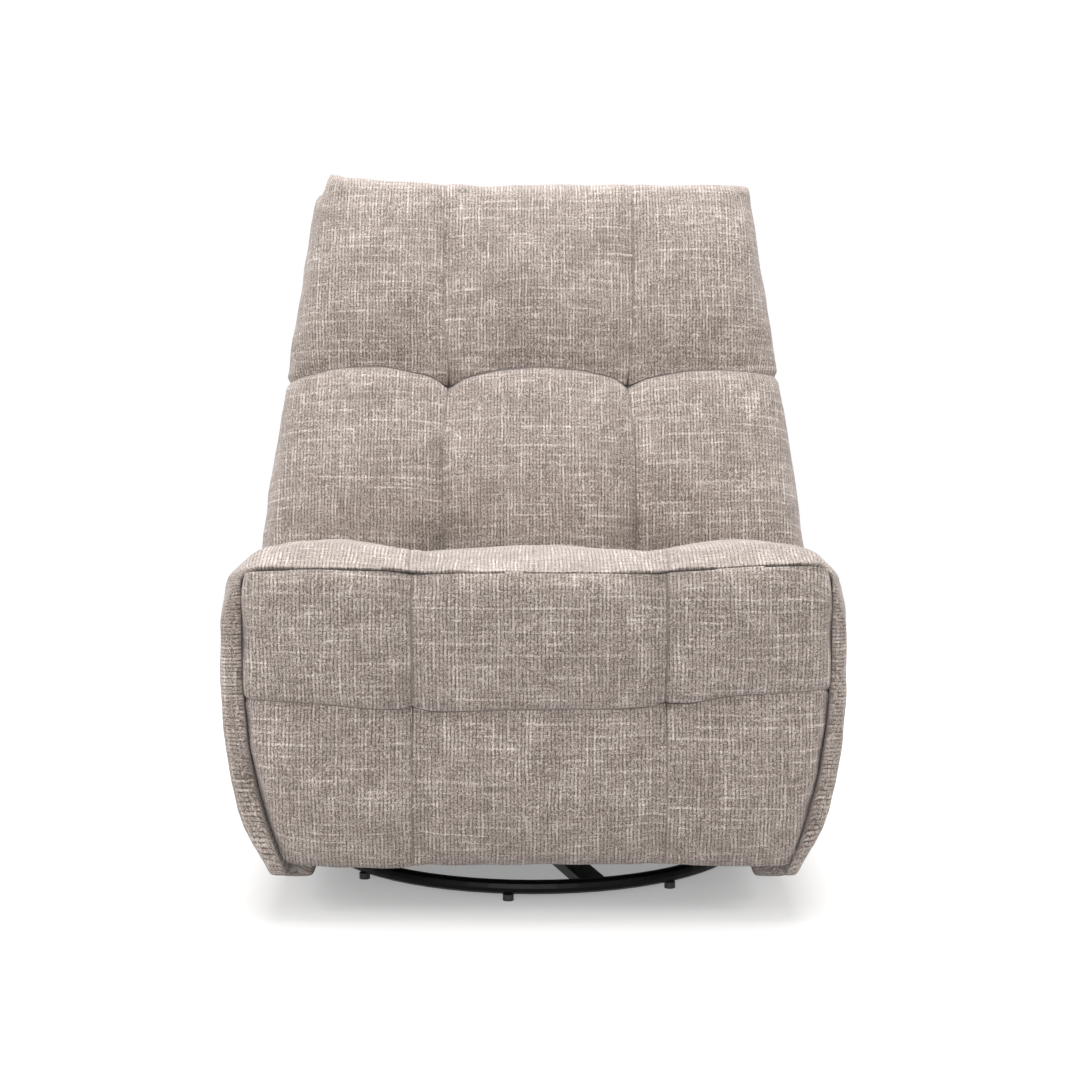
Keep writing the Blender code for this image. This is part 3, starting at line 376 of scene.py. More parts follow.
def make_chenille():
    """Loose weave of uneven yarns, dark between them, with a dark stitch line and painted shade in
    the seams.
    """
    n = new_material("chenille")
    place = n.new("ShaderNodeAttribute", attribute_name="weave").outputs["Vector"]
    seams_and_painted_shade = n.new("ShaderNodeAttribute", attribute_name="seams_and_painted_shade").outputs["Vector"]
    sway = n.new("ShaderNodeTexNoise", {"Vector": place, "Scale": 18.0, "Detail": 2.0}).outputs[1]
    for operation, other in (('SUBTRACT', {1: (0.5, 0.5, 0.5)}), ('SCALE', {"Scale": 0.005}),
                             ('ADD', {1: place})):
        sway = n.new("ShaderNodeVectorMath", {0: sway, **other}, operation=operation).outputs[0]
    place = sway
    apart = n.new("ShaderNodeSeparateXYZ", {0: place})
    u, v = apart.outputs[0], apart.outputs[1]
    across = n.math('DIVIDE', u, WARP_PITCH)
    along = n.math('DIVIDE', v, WEFT_PITCH)
    warp_no, weft_no = n.math('FLOOR', across), n.math('FLOOR', along)
    gap_no = n.math('FLOOR', n.math('ADD', across, 0.5))

    def thread(count):
        """1 along the middle of a thread and 0 between two."""
        off = n.math('ABSOLUTE', n.math('SUBTRACT', n.math('FRACT', count), 0.5))
        return n.math('SUBTRACT', 1.0, n.math('MULTIPLY', n.math('MULTIPLY', off, off), 4.0))

    def part_of(value, amount):
        """How far a value is from the middle, times the amount."""
        return n.math('MULTIPLY', n.math('SUBTRACT', value, 0.5), amount)

    def yarn_noise(x, x_scale, y, y_scale, detail, rough=0.5):
        """Noise that runs along a thread and starts anew at the next."""
        place = n.vector(n.math('MULTIPLY', x, x_scale), n.math('MULTIPLY', y, y_scale))
        return n.noise(place, 1.0, detail, rough)

    # Single threads, each with a tone that changes along it, and dark dashes between them
    warp_round, weft_round = thread(across), thread(along)
    warp_tone = yarn_noise(warp_no, 7.31, v, 15.0, 3.0, 0.6)
    weft_tone = yarn_noise(u, 12.0, weft_no, 5.77, 3.0, 0.6)
    dash_tone = yarn_noise(gap_no, 4.13, v, 210.0, 2.0)
    pick_no = n.math('FLOOR', n.math('ADD', along, 0.5))
    pick_tone = yarn_noise(u, 120.0, pick_no, 3.71, 2.0)
    between_warps = n.between(n.math('SUBTRACT', 1.0, warp_round), 0.25, 0.95)
    between_wefts = n.between(n.math('SUBTRACT', 1.0, weft_round), 0.35, 0.95)
    dash = n.math('MULTIPLY', n.between(dash_tone, 0.40, 0.60), between_warps)
    pick = n.math('MULTIPLY', n.between(pick_tone, 0.42, 0.62), between_wefts)
    dash = n.math('MAXIMUM', dash, n.math('MULTIPLY', pick, 0.36))

    # Light slubs, streaks and thick yarns, with fuzz and patches over all
    slub = n.math('MULTIPLY', n.between(weft_tone, 0.54, 0.68), weft_round)
    streak = n.math('MULTIPLY', n.between(warp_tone, 0.47, 0.66),
                    n.between(warp_round, 0.72, 0.99))
    rows = n.math('DIVIDE', v, THICK_YARN_EVERY)
    row_tone = yarn_noise(u, 16.0, n.math('FLOOR', rows), 6.37, 3.0)
    thick = n.math('MULTIPLY', n.between(thread(rows), 0.935, 0.995),
                   n.between(row_tone, 0.40, 0.62))
    fuzz = n.noise(place, 560.0, 3.0, 0.75)
    patch = n.noise(place, 15.0, 4.0, 0.6)

    # The tone picks the colour of the yarn, and the seams get a dark stitch line and painted shade,
    # as strong as each cover sets it
    tone = MIDDLE_TONE
    for value, amount in ((warp_tone, 0.16), (weft_tone, 0.20), (fuzz, 1.78), (patch, 0.26)):
        tone = n.math('ADD', tone, part_of(value, amount))
    for value, amount in ((thick, 0.13), (slub, 0.05), (streak, 0.15), (dash, -0.45)):
        tone = n.math('ADD', tone, n.math('MULTIPLY', value, amount))
    tone = n.math('ADD', part_of(tone, TONE_CONTRAST), 0.5)
    colour = n.ramp(tone, *YARN_TONES)
    parts = n.new("ShaderNodeSeparateXYZ", {0: seams_and_painted_shade})
    # Painted shade along the seams, with the dark stitch line: full near a seam, scaled by the
    # strength that the cover writes
    away = [n.between(n.math('ABSOLUTE', parts.outputs[axis]), *SEAM_WIDTH) for axis in (0, 1)]
    line = n.math('MULTIPLY', n.math('SUBTRACT', 1.0, n.math('MINIMUM', *away)), parts.outputs[2])
    colour = n.mixed(line, colour, SEAM_STITCH_AND_PAINTED_SHADE)

    height = n.math('ADD', n.math('MULTIPLY', warp_round, 0.6), n.math('MULTIPLY', fuzz, 0.5))
    height = n.math('ADD', height, n.math('MULTIPLY', slub, 0.4))
    height = n.math('SUBTRACT', height, n.math('MULTIPLY', dash, 0.5))
    height = n.math('SUBTRACT', height, line)
    return n.surface(Base_Color=colour, Roughness=0.92, Normal=n.bump(height, 0.6, 0.0012),
                     Sheen_Weight=0.28, Sheen_Roughness=0.5, Sheen_Tint=(1.0, 0.92, 0.96, 1))


def metal_finish(name, colour, rough, metallic, grain, depth, shine=0.5):
    """Coated or plated metal: fine grain in its gloss, slight unevenness in its coat."""
    n = new_material(name)
    fine = n.noise(n.grain(grain), 14.0, 4.0, 0.65)
    cloud = n.noise(n.place(), 18.0, 2.0)
    dark = (*[c * 0.82 for c in colour], 1)
    light = (*[min(1, c * 1.15) for c in colour], 1)
    gloss = n.scaled(fine, rough - depth, rough + depth)
    return n.surface(Base_Color=n.mixed(cloud, dark, light), Roughness=gloss, Metallic=metallic,
                     Specular_IOR_Level=shine, Normal=n.bump(fine, 0.08, 0.0005))


def make_plywood():
    """Veneer with its grain along the chair's depth."""
    n = new_material("plywood_veneer")
    grain = n.noise(n.grain((26, 3, 26)), 3.0, 6.0, 0.62)
    fine = n.noise(n.grain((300, 12, 300)), 1.0, 2.0)
    tone = n.math('ADD', n.math('MULTIPLY', grain, 0.75), n.math('MULTIPLY', fine, 0.25))
    colour = n.ramp(tone, (0.30, (0.19, 0.115, 0.062)), (0.5, (0.29, 0.19, 0.11)),
                    (0.72, (0.38, 0.27, 0.165)))
    return n.surface(Base_Color=colour, Roughness=0.72, Normal=n.bump(tone, 0.25, 0.0006))


def make_moulded():
    """Black plastic with a fine moulded grain."""
    n = new_material("moulded_black")
    spark = n.noise(n.place(), 700.0, 2.0)
    tint = n.mixed(n.noise(n.place(), 30.0), (0.010, 0.010, 0.010, 1), (0.020, 0.020, 0.021, 1))
    return n.surface(Base_Color=tint, Roughness=n.scaled(spark, 0.42, 0.60),
                     Normal=n.bump(spark, 0.15, 0.0003))


chenille = make_chenille()
finishes = {
    "black_steel": metal_finish("powder_coat", (0.0035, 0.0038, 0.0037), rough=0.36, metallic=0.0,
                                grain=(60, 60, 60), depth=0.06, shine=0.14),
    "zinc_steel": metal_finish("zinc_plate", (0.55, 0.55, 0.54), rough=0.36, metallic=1.0,
                               grain=(30, 8, 8), depth=0.10),
    "spring_steel": metal_finish("oiled_spring", (0.10, 0.10, 0.11), rough=0.42, metallic=1.0,
                                 grain=(30, 30, 30), depth=0.08),
    "plywood": make_plywood(),
    "fabric": chenille,
    "black_plastic": make_moulded(),
}

# Every solid gets its finish. The covers then stand in for the padded ones.
for part in frame["record"]["subparts"]:
    node = nodes[part["node"]]
    node.data.materials.clear()
    node.data.materials.append(finishes[part["material_slot"]])


# Back cover: six stuffed panels with a scalloped seam

def lean_frame(co):
    """x across, t up the back, n forward of its middle plane."""
    y, z = co[:, 1] - HINGE_Y, co[:, 2] - HINGE_Z
    return co[:, 0].copy(), y * sin(LEAN) + z * cos(LEAN), z * sin(LEAN) - y * cos(LEAN)


def from_lean(x, t, n):
    y = HINGE_Y + t * sin(LEAN) - n * cos(LEAN)
    z = HINGE_Z + t * cos(LEAN) + n * sin(LEAN)
    return np.stack((x, y, z), axis=1)


def back_half(t):
    """Half the width of the back, which tapers upwards."""
    taper = BACK_TOP_HALF - BACK_BOTTOM_HALF
    return BACK_BOTTOM_HALF + taper * np.maximum(t, 0) / BACK_TOP


def seam_pair(x, at):
    """Distance from two seams at -at and at, negative between them."""
    return (x * x - at * at) / (2 * at)


def arches(x, at, half):
    """0 at the tufts and the sides, 1 midway between."""
    outer = (np.abs(x) - at) / np.maximum(half - at, 1e-6)
    q = np.clip(np.where(np.abs(x) < at, (x + at) / (2 * at), outer), 0, 1)
    return 4 * q * (1 - q)


def scallop(x):
    """Height of the back's cross seam: one arch for each column."""
    height = np.full_like(x, -TUFT_DROP)
    for left, right, rise in zip(SCALLOP_ENDS, SCALLOP_ENDS[1:], SCALLOP_RISE):
        q = np.clip((x - left) / (right - left), 0, 1)
        height += rise * 4 * q * (1 - q)
    return height


def round_foot(co):
    """Round the foot of the back out towards the scoop that it turns in, outside the mechanism."""
    x, t, n = lean_frame(co)
    from_hinge = np.hypot(t, n)
    grow = np.clip(FOOT_RADIUS - from_hinge, 0, 0.012) * ease(0.095, 0.112, from_hinge)
    grow = grow * ease(0.06, 0.0, t) * ease(0.312, 0.328, np.abs(x))
    scale = 1 + grow / np.maximum(from_hinge, 1e-6)
    return from_lean(x, t * scale, n * scale)


def round_slots(x, t, n, inner, outer):
    """The cloth round the slots of the mechanism plates, which is held."""
    return (np.abs(x) > inner) & (np.abs(x) < outer) & (np.hypot(t, n) < SCOOP + 0.012)


def clear_slots(co):
    """Open the slots for the mechanism plates, as far back as they reach at full recline."""
    ax = np.abs(co[:, 0])
    y, z = co[:, 1] - HINGE_Y, co[:, 2] - HINGE_Z
    slot = (ax > PLATE_SLOT[0]) & (ax < PLATE_SLOT[1]) & (np.hypot(y, z) < SCOOP) & (z < 0.03)
    co[slot, 1] = np.maximum(co[slot, 1], HINGE_Y + PLATE_REACH)


def wrapped(x, t, deep):
    """Weave places that run on over the back's sides and top, which lie deep behind a face."""
    edge = ease(0.84, 0.97, np.abs(x) / back_half(t))
    return np.sign(x) * (np.abs(x) + edge * deep), t + ease(0.60, 0.65, t) * deep


def make_back():
    ob = cover_of("back_cover", "back_pad")
    skin(ob, voxel=0.0075)
    even_out(ob, 3)
    rest = points(ob)
    write_attribute(ob, "rest", rest)
    x, t, n = lean_frame(rest)
    half = back_half(t)
    front = ease(0.030, 0.075, n)
    sx = seam_pair(x, BACK_SEAM_X)
    st = t - BACK_SEAM_T
    seam = (np.abs(sx) < SEAM_HELD) | (np.abs(st) < SEAM_HELD)
    held = (n < 0.022) | (t < -0.02) | (t > 0.628) | (seam & (n > 0.03))
    held |= round_slots(x, t, n, 0.276, 0.304)

    # The seams are laid where the photograph has them, and the panels pushed in and out for them
    arch = arches(x, BACK_SEAM_X, half)
    x2 = x + front * BACK_SEAM_SHIFT * (1 - (x / half) ** 2)
    x2 -= front * 0.009 * hump(np.abs(x) - BACK_SEAM_X, 0.05) * np.sign(x) * hump(st, 0.07)
    wider = 0.0035 * np.sign(x) * ease(0.80, 1.0, np.abs(x) / half) * ease(0.0, 0.06, t)
    x2 += wider - 0.0012 * ease(0.0, 0.1, t)
    t2 = t + front * hump(st, 0.085) * scallop(x2) + 0.0025 * ease(0.55, 0.65, t)
    upright_seam = hump(np.abs(x) - BACK_SEAM_X, 0.045) * (1 - hump(st, 0.075))
    upright_seam = upright_seam * ease(0.03, 0.10, t)
    n2 = n + front * (0.016 * upright_seam - 0.004 * ~held)
    fold = 0.009 * hump(st + 0.030, 0.026) - 0.010 * hump(st - 0.032, 0.030)
    n2 += front * (0.3 + 0.7 * arch) * fold
    over = np.clip((t - BACK_TOP + 0.050) / 0.050, 0, 1)
    n2 -= front * 0.036 * (1 - np.sqrt(1 - 0.98 * over ** 2))
    n2 -= front * 0.018 * ease(0.215, 0.050, t) * ease(0.86, 0.60, np.abs(x) / half)
    move(ob, from_lean(x2, t2, n2))
    stuff(ob, held, pressure=8.0, cap=0.022)
    even_out(ob, 2, share=0.4, free=1.0 - 0.8 * seam)
    finer(ob)

    # The stitches draw the stuffed cloth in, most at the tufts
    x, t, n = lean_frame(read_attribute(ob, "rest"))
    front = ease(0.045, 0.075, n)
    sx, st = seam_pair(x, BACK_SEAM_X), t - BACK_SEAM_T
    to_tuft = np.hypot(np.abs(x) - BACK_SEAM_X, st)
    co = points(ob)
    depth = 0.0022 * hump(sx, 0.005) + 0.008 * hump(st, 0.006) + 0.011 * hump(to_tuft, 0.015)
    co -= outward(ob) * (front * depth - hand_made(co) * front)[:, None]

    # The top stands higher at the left, as an ear
    x3, t3, n3 = lean_frame(co)
    high = ease(BACK_TOP - 0.050, BACK_TOP - 0.004, t3) * ease(-0.005, 0.045, n3)
    from_ear = x3 - EAR_X
    ear = 0.0165 * np.clip(1 - from_ear / 0.165, 0, 1) ** 1.2 + 0.006 * hump(from_ear, 0.016)
    ear -= 0.030 * ease(-0.328, -0.342, x3)
    co = round_foot(from_lean(x3, t3 + high * ear, n3))
    move(ob, co)

    # The weave runs on over the edges, and the seams get a dark line and painted shade: a little at
    # every seam, more along the cross seam and most near the tufts, where the folds are deepest
    x3, t3, n3 = lean_frame(co)
    n_front = BACK_FACE[0] + BACK_FACE[1] * t3
    u, v = wrapped(x3, t3, np.maximum(n_front - n3, 0))
    far = np.where(front > 0.5, 0, 1.0)
    dark = 0.20 + hump(st, 0.02) * (0.15 + 0.6 * hump(to_tuft, 0.075))
    seams_and_painted_shade = np.stack((sx + far, st + far, dark), axis=1)
    panel = np.digitize(x, (-BACK_SEAM_X, BACK_SEAM_X)) + 3 * (st > 0)
    upholster(ob, "back", ["back_pad"], cut_apart(u, v, panel), seams_and_painted_shade)


# Outer back cover: one plain panel

def make_outer_back():
    ob = cover_of("outer_back_cover", "outer_back")
    skin(ob, voxel=0.009)
    even_out(ob, 3)
    x, t, n = lean_frame(points(ob))
    held = (n > -0.030) | (t < -0.02)
    held |= round_slots(x, t, n, 0.274, 0.306)
    stuff(ob, held, pressure=0.6, cap=0.008)
    even_out(ob, 2, share=0.4)
    finer(ob)
    co = points(ob)
    n = lean_frame(co)[2]
    co += outward(ob) * (hand_made(co) * ease(-0.03, -0.06, n))[:, None]
    co = round_foot(co)
    clear_slots(co)
    move(ob, co)
    x, t, n = lean_frame(co)
    n_rear = OUTER_FACE[0] + OUTER_FACE[1] * t
    u, v = wrapped(x, t, np.maximum(n - n_rear, 0))
    weave = on_cloth(u, v + OUTER_BACK_CUT)
    upholster(ob, "back", ["outer_back"], weave, np.ones_like(co))


# The line where the seat's lip meets the front panel

def front_shift(x):
    """How far the front panel sits off centre: its seams more than its edges."""
    more = FRONT_SHIFT - FRONT_EDGE_SHIFT
    return FRONT_EDGE_SHIFT + more * (1 - (x / FRONT_HALF) ** 2)


def front_half(z):
    """Half the width of the front panel, which narrows towards the floor."""
    low = np.maximum(0, (WIDEST_Z - z) / 0.305)
    return FRONT_NARROW * (FRONT_HALF - 0.050 * low ** 2.5)


def lip_rise(x):
    """The lip stands higher over the outer columns, most at the right."""
    right = 0.004 + 0.007 * ease(0.20, 0.38, x)
    return 0.004 * ease(-0.150, -0.200, x) + ease(0.150, 0.200, x) * right


def nose_share(yc):
    """0 where the seat's lip starts, 1 at its tip."""
    return np.clip((NOSE_START - yc) / NOSE_LENGTH, 0, 1)


def lip_under(x, yc):
    """Underside of the seat's lip over the front panel."""
    nose = nose_share(yc)
    return LIP_ROOT_Z + 0.0278 * nose + 0.0020 * ease(0.3, 0.8, nose) + lip_rise(x) * nose


# Footrest cover: six panels, the lower row tucked under the upper

def make_footrest():
    ob = cover_of("footrest_cover", "footrest_pad")
    skin(ob, voxel=0.0070)
    even_out(ob, 3)
    rest = points(ob)
    write_attribute(ob, "rest", rest)
    x, y, z = rest.T
    ax = np.abs(x)
    depth = -(y - AXIS_Y) - PANEL_REAR
    front = ease(0.030, 0.055, depth)
    sx, sz = seam_pair(x, FRONT_SEAM_X), z - FRONT_SEAM_Z
    seam = (np.abs(sx) < SEAM_HELD) | (np.abs(sz) < SEAM_HELD)
    held = (depth < 0.012) | (z > 0.450) | (seam & (depth > 0.03))

    # The cross seam sags, the hem hangs lower and the top rises to the seat's lip
    x2 = x * FRONT_NARROW + front_shift(x)
    hem = 0.012 - 0.0025 * hump(x - 0.05, 0.10) + 0.002 * hump(x + 0.20, 0.10)
    sag = np.interp(x2, *FRONT_SAG)
    lift = front * (sag * hump(sz, 0.09) - hem * ease(0.15, 0.08, z))
    lift += (0.0125 + lip_rise(x2)) * ease(0.395, 0.452, z)
    lift += (0.003 + 0.002 * ease(0.16, 0.23, ax)) * ease(0.425, 0.452, z)
    corner = ease(0.355, 0.402, ax) * ease(0.425, 0.460, z)
    lift -= 0.005 * corner
    x2 -= 0.006 * np.sign(x) * corner

    # The lower row is tucked in under the upper, and the top edge rolls over
    upright_seam = hump(ax - FRONT_SEAM_X, 0.04) * (1 - hump(sz, 0.06))
    upright_seam = upright_seam * ease(0.10, 0.16, z) * ease(0.44, 0.40, z)
    out = 0.010 * upright_seam + 0.006 * hump(z - 0.430, 0.025) - 0.004 * ~held
    out += 0.006 * hump(sz - 0.030, 0.024) - 0.005 * hump(sz + 0.026, 0.022)
    move(ob, np.stack((x2, y - front * out, z + lift), axis=1))
    normal = outward(ob)
    roll = ease(0.15, 0.60, np.minimum(-normal[:, 1], normal[:, 2])) * (z > 0.40)
    move(ob, points(ob) + normal * (0.006 * roll)[:, None])
    stuff(ob, held, pressure=9.0, cap=0.016)
    even_out(ob, 2, share=0.4, free=1.0 - 0.8 * seam)
    finer(ob)

    # The stitches draw the stuffed cloth in
    x, y, z = read_attribute(ob, "rest").T
    depth = -(y - AXIS_Y) - PANEL_REAR
    front = ease(0.035, 0.055, depth)
    sx, sz = seam_pair(x, FRONT_SEAM_X), z - FRONT_SEAM_Z
    to_tuft = np.hypot(np.abs(x) - FRONT_SEAM_X, sz)
    co = points(ob)
    cut = 0.0025 * hump(sx, 0.005) + 0.0060 * hump(sz, 0.0055) + 0.013 * hump(to_tuft, 0.019)
    co -= outward(ob) * (front * cut - hand_made(co) * front)[:, None]
    co[:, 2] -= front * 0.006 * hump(sz - 0.012, 0.016)

    # The top bends back to the lip and stays under it
    yc = co[:, 1] - AXIS_Y
    bent = np.clip((co[:, 2] - 0.436) / 0.035, 0, 1) ** 2
    co[:, 1] += 0.0065 * bent * ease(-0.380, -0.404, yc)
    yc = co[:, 1] - AXIS_Y
    below_lip = np.minimum(co[:, 2], lip_under(co[:, 0], yc) - PANEL_GAP)
    co[:, 2] = np.where((z > 0.40) & (yc > -0.4025), below_lip, co[:, 2])
    move(ob, co)

    # The weave runs on over the edges, and the seams get a dark line and painted shade: a little at
    # every seam, more along the cross seam and most near the tufts, where the folds are deepest
    edge = ease(0.90, 0.99, np.abs(x) / 0.40)
    roll = ease(0.16, 0.09, co[:, 2]) - ease(0.42, 0.45, co[:, 2])
    x3, y3, z3 = co.T
    u = np.sign(x3) * (np.abs(x3) + edge * np.maximum(y3 - PANEL_SIDE_Y, 0))
    v = -z3 + roll * np.maximum(y3 - PANEL_FACE_Y, 0)
    far = np.where(front > 0.5, 0, 1.0)
    dark = 0.30 + hump(sz, 0.02) * (0.15 + 0.5 * hump(to_tuft, 0.06))
    seams_and_painted_shade = np.stack((sx + far, sz + far, dark), axis=1)
    panel = np.digitize(x, (-FRONT_SEAM_X, FRONT_SEAM_X)) + 3 * (sz > 0)
    upholster(ob, "footrest", ["footrest_pad"], cut_apart(u, v, panel), seams_and_painted_shade)


# Seat cover: crowned top, shoulders and padded sides in one piece

def body_half(z):
    """Half the width of the seat over its sides."""
    low = np.maximum(0, (WIDEST_Z - z) / 0.337)
    high = np.maximum(0, (z - WIDEST_Z) / 0.10)
    return BODY_HALF - 0.060 * low ** 3 - 0.012 * high ** 3


def crest(x):
    """Height of the seat's crest as the photograph has it: low in the middle, round at the sides."""
    ax = np.abs(x)
    shoulder = np.maximum(0, (ax - 0.33) / 0.10)
    return 0.487 + 0.019 * ease(0.10, 0.31, ax) - 0.091 * shoulder ** 3


def crest_lift(x):
    """How far the crest of the photograph stands over the solid's own crest."""
    p = np.minimum(np.abs(x) / 0.422, 1)
    edges = np.where(p < 0.40, (p + 0.40) / 0.80, np.clip((p - 0.40) / 0.60, 0, 1))
    crown = np.sqrt(np.maximum(4 * edges * (1 - edges), 0))
    solid = 0.479 + (0.010 + 0.010 * p) * crown - 0.042 * p ** 16
    return np.clip(crest(x) - solid, -0.008, 0.020)


def clear_of_panel(co):
    """Open the recess that the front panel closes into, with an even gap round it."""
    x, yc, z = co[:, 0], co[:, 1] - AXIS_Y, co[:, 2]
    off = x - FRONT_EDGE_SHIFT
    beside = front_half(z) + PANEL_GAP - np.abs(off)
    below = lip_under(x, yc) - z
    inside = (yc < -0.338) & (beside > 0) & (below > 0)
    sideways = inside & (beside < below)
    upward = inside & ~sideways
    co[sideways, 0] += (np.sign(off) * beside)[sideways]
    co[upward, 2] += below[upward]


def handle_pocket(co):
    """Draw the left side in behind the rim of the handle cup, and deeper for the cup."""
    lo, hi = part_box("latch_cup")
    left = co[:, 0] < -0.36
    for grow, depth in ((0.0035, 0.0045), (-0.0045, hi.x - lo.x + 0.0015)):
        inside = left & (co[:, 1] > lo.y - grow) & (co[:, 1] < hi.y + grow)
        inside &= (co[:, 2] > lo.z - grow) & (co[:, 2] < hi.z + grow)
        co[inside, 0] = np.maximum(co[inside, 0], lo.x + depth)


def make_cheek(side):
    """The thin end of a side, between the front panel's edge and the outside."""
    cheek = bmesh.new()
    bmesh.ops.create_cube(cheek, size=1.0)
    bmesh.ops.subdivide_edges(cheek, edges=cheek.edges[:], cuts=14, use_grid_fill=True)
    for v in cheek.verts:
        z = CHEEK_BOTTOM + (v.co.z + 0.5) * CHEEK_HEIGHT
        inner = front_half(z) + side * FRONT_EDGE_SHIFT - 0.002
        outer = body_half(z) - 0.007 - 0.014 * max(0, (z - 0.40) / 0.064) ** 2
        x = side * (inner + (v.co.x * side + 0.5) * (outer - inner))
        v.co = (x, AXIS_Y + CHEEK_FRONT + (v.co.y + 0.5) * CHEEK_DEPTH, z)
    return cheek


def make_seat():
    ob = cover_of("seat_cover", "seat_cushion", "side_pad_right", mirrored=("side_pad_right",))
    bm = bmesh.new()
    bm.from_mesh(ob.data)
    for side in (-1, 1):
        middle = Vector((side * JOIN_MIDDLE[0], *JOIN_MIDDLE[1:]))
        size = Matrix.Diagonal((*JOIN_SIZE, 1))
        bmesh.ops.create_cube(bm, size=1.0, matrix=Matrix.Translation(middle) @ size)
        add_to(bm, make_cheek(side))
    bm.to_mesh(ob.data)
    bm.free()
    skin(ob, voxel=0.0075)
    even_out(ob, 3)
    rest = points(ob)
    write_attribute(ob, "rest", rest)
    x, y, z = rest.T
    yc = y - AXIS_Y
    normal = outward(ob)
    ax = np.abs(x)
    from_hinge = np.hypot(y - HINGE_Y, z - HINGE_Z)
    sx = seam_pair(x, FRONT_SEAM_X)
    top = (normal[:, 2] > 0.5) & (z > 0.40)
    outer = (ax > 0.33) & (normal[:, 0] * np.sign(x) > 0.25)
    free = (top | outer) & (from_hinge > 0.172) & (y < 0.24) & (z > 0.056) & (yc > -0.385)
    free &= ~((np.abs(sx) < SEAM_HELD) & (z > 0.40))
    held = ~free

    # The crest rises to the photograph's, and the lip thins out over the front panel
    co = rest - normal * (0.003 * (free & top))[:, None]
    co[:, 2] += crest_lift(x) * ease(0.44, 0.476, z) * ease(0.02, -0.10, yc)
    nose = nose_share(yc)
    under = LIP_ROOT_Z + 0.0288 * nose
    edge = 0.0020 / (0.009 + np.maximum(crest_lift(x), 0))
    thin = 1 - (1 - edge) * nose ** 1.7
    lip = (yc < NOSE_START) & (co[:, 2] > under - 0.003)
    co[lip, 2] = (lip_under(x, yc) + (co[:, 2] - under) * thin)[lip]
    co[:, 1] += 0.002 * ease(0.80, 1.0, nose) * lip

    # The sides hang lower and turn in at the hem, and the rear edge leans towards the back
    low_end = (ax > 0.30) & (yc > -0.41)
    co[:, 2] -= 0.009 * ease(0.085, 0.045, z) * low_end
    co[:, 0] -= 0.012 * np.sign(x) * ease(0.135, 0.045, z) * low_end
    co[:, 1] += 0.007 * ease(0.090, 0.045, z) ** 2 * low_end * (yc < -0.25)
    shift = FRONT_SHIFT * ease(-0.15, -0.40, y) * ease(0.40, 0.44, z)
    co[:, 0] += shift * (1 - (x / 0.43) ** 2)
    rear_edge = HINGE_Y - np.sqrt(np.maximum(SEAT_REAR_RADIUS ** 2 - (z - HINGE_Z) ** 2, 0))
    leant = np.clip(rear_edge - 0.0305, 0, 0.020) * ease(-0.05, 0.027, y)
    co[:, 1] += leant * ease(0.367, 0.375, z) * (y < 0.06)
    move(ob, co)

    # The shoulders are rounded off
    shoulder = ease(0.365, 0.395, ax) * ease(0.405, 0.435, z) * ease(-0.20, -0.29, yc)
    even_out(ob, 24, free=shoulder)
    normal = outward(ob)
    slant = ease(0.30, 0.66, np.minimum(np.abs(normal[:, 0]), normal[:, 2]))
    slant = slant * ease(0.34, 0.37, ax) * ease(0.40, 0.43, z)
    move(ob, points(ob) + normal * (0.007 * slant * ease(0.0, -0.15, yc))[:, None])
    even_out(ob, 3, free=slant)
    stuff(ob, held, pressure=3.0, cap=0.010)
    even_out(ob, 3, share=0.4)
    finer(ob)

    # The stitches draw the stuffed cloth in, and the handle and the front panel get their room
    x, y, z = read_attribute(ob, "rest").T
    co = points(ob)
    sx = seam_pair(x, FRONT_SEAM_X)
    normal = outward(ob)
    top = ease(0.2, 0.6, normal[:, 2]) * ease(0.40, 0.43, z)
    uneven = hand_made(co) * (top + ease(0.40, 0.42, np.abs(x)))
    co -= normal * (top * 0.0025 * hump(sx, 0.005) - uneven)[:, None]
    handle_pocket(co)
    clear_of_panel(co)
    move(ob, co)

    # The weave runs from the crest round the shoulder and down the side
    ax = np.abs(co[:, 0])
    half = body_half(co[:, 2])
    round_shoulder = np.arctan2(ax - 0.360, co[:, 2] - 0.435)
    side = np.sin(np.clip(round_shoulder, 0, pi / 2)) ** 2
    cheek = ease(-0.330, -0.350, co[:, 1]) * ease(0.466, 0.456, co[:, 2])
    side = np.maximum(side, np.maximum(cheek, ease(0.38, 0.36, co[:, 2])))
    turned = outward(ob)[:, 1:]
    length = np.maximum((turned ** 2).sum(axis=1), 1e-6)[:, None]
    turned = turned * np.abs(turned) / length
    inward = side * (half - ax)
    u = np.sign(x) * (ax + side * (half - ax + SEAT_TOP_Z - co[:, 2]) - inward * turned[:, 1])
    v = -co[:, 1] - (1 - side) * (co[:, 2] - crest(co[:, 0])) - inward * turned[:, 0]
    # The seams on the top get a faint dark line with painted shade
    far = np.where(top > 0.5, 0, 1.0)
    seams_and_painted_shade = np.stack((sx + far, np.ones_like(sx), np.full_like(sx, 0.3)), axis=1)
    panel = np.digitize(x, (-FRONT_SEAM_X, FRONT_SEAM_X))
    solids = ["seat_cushion", "side_pad_left", "side_pad_right"]
    upholster(ob, "seat", solids, cut_apart(u, v, panel), seams_and_painted_shade)


# Rear panel cover, with its top raised towards the back

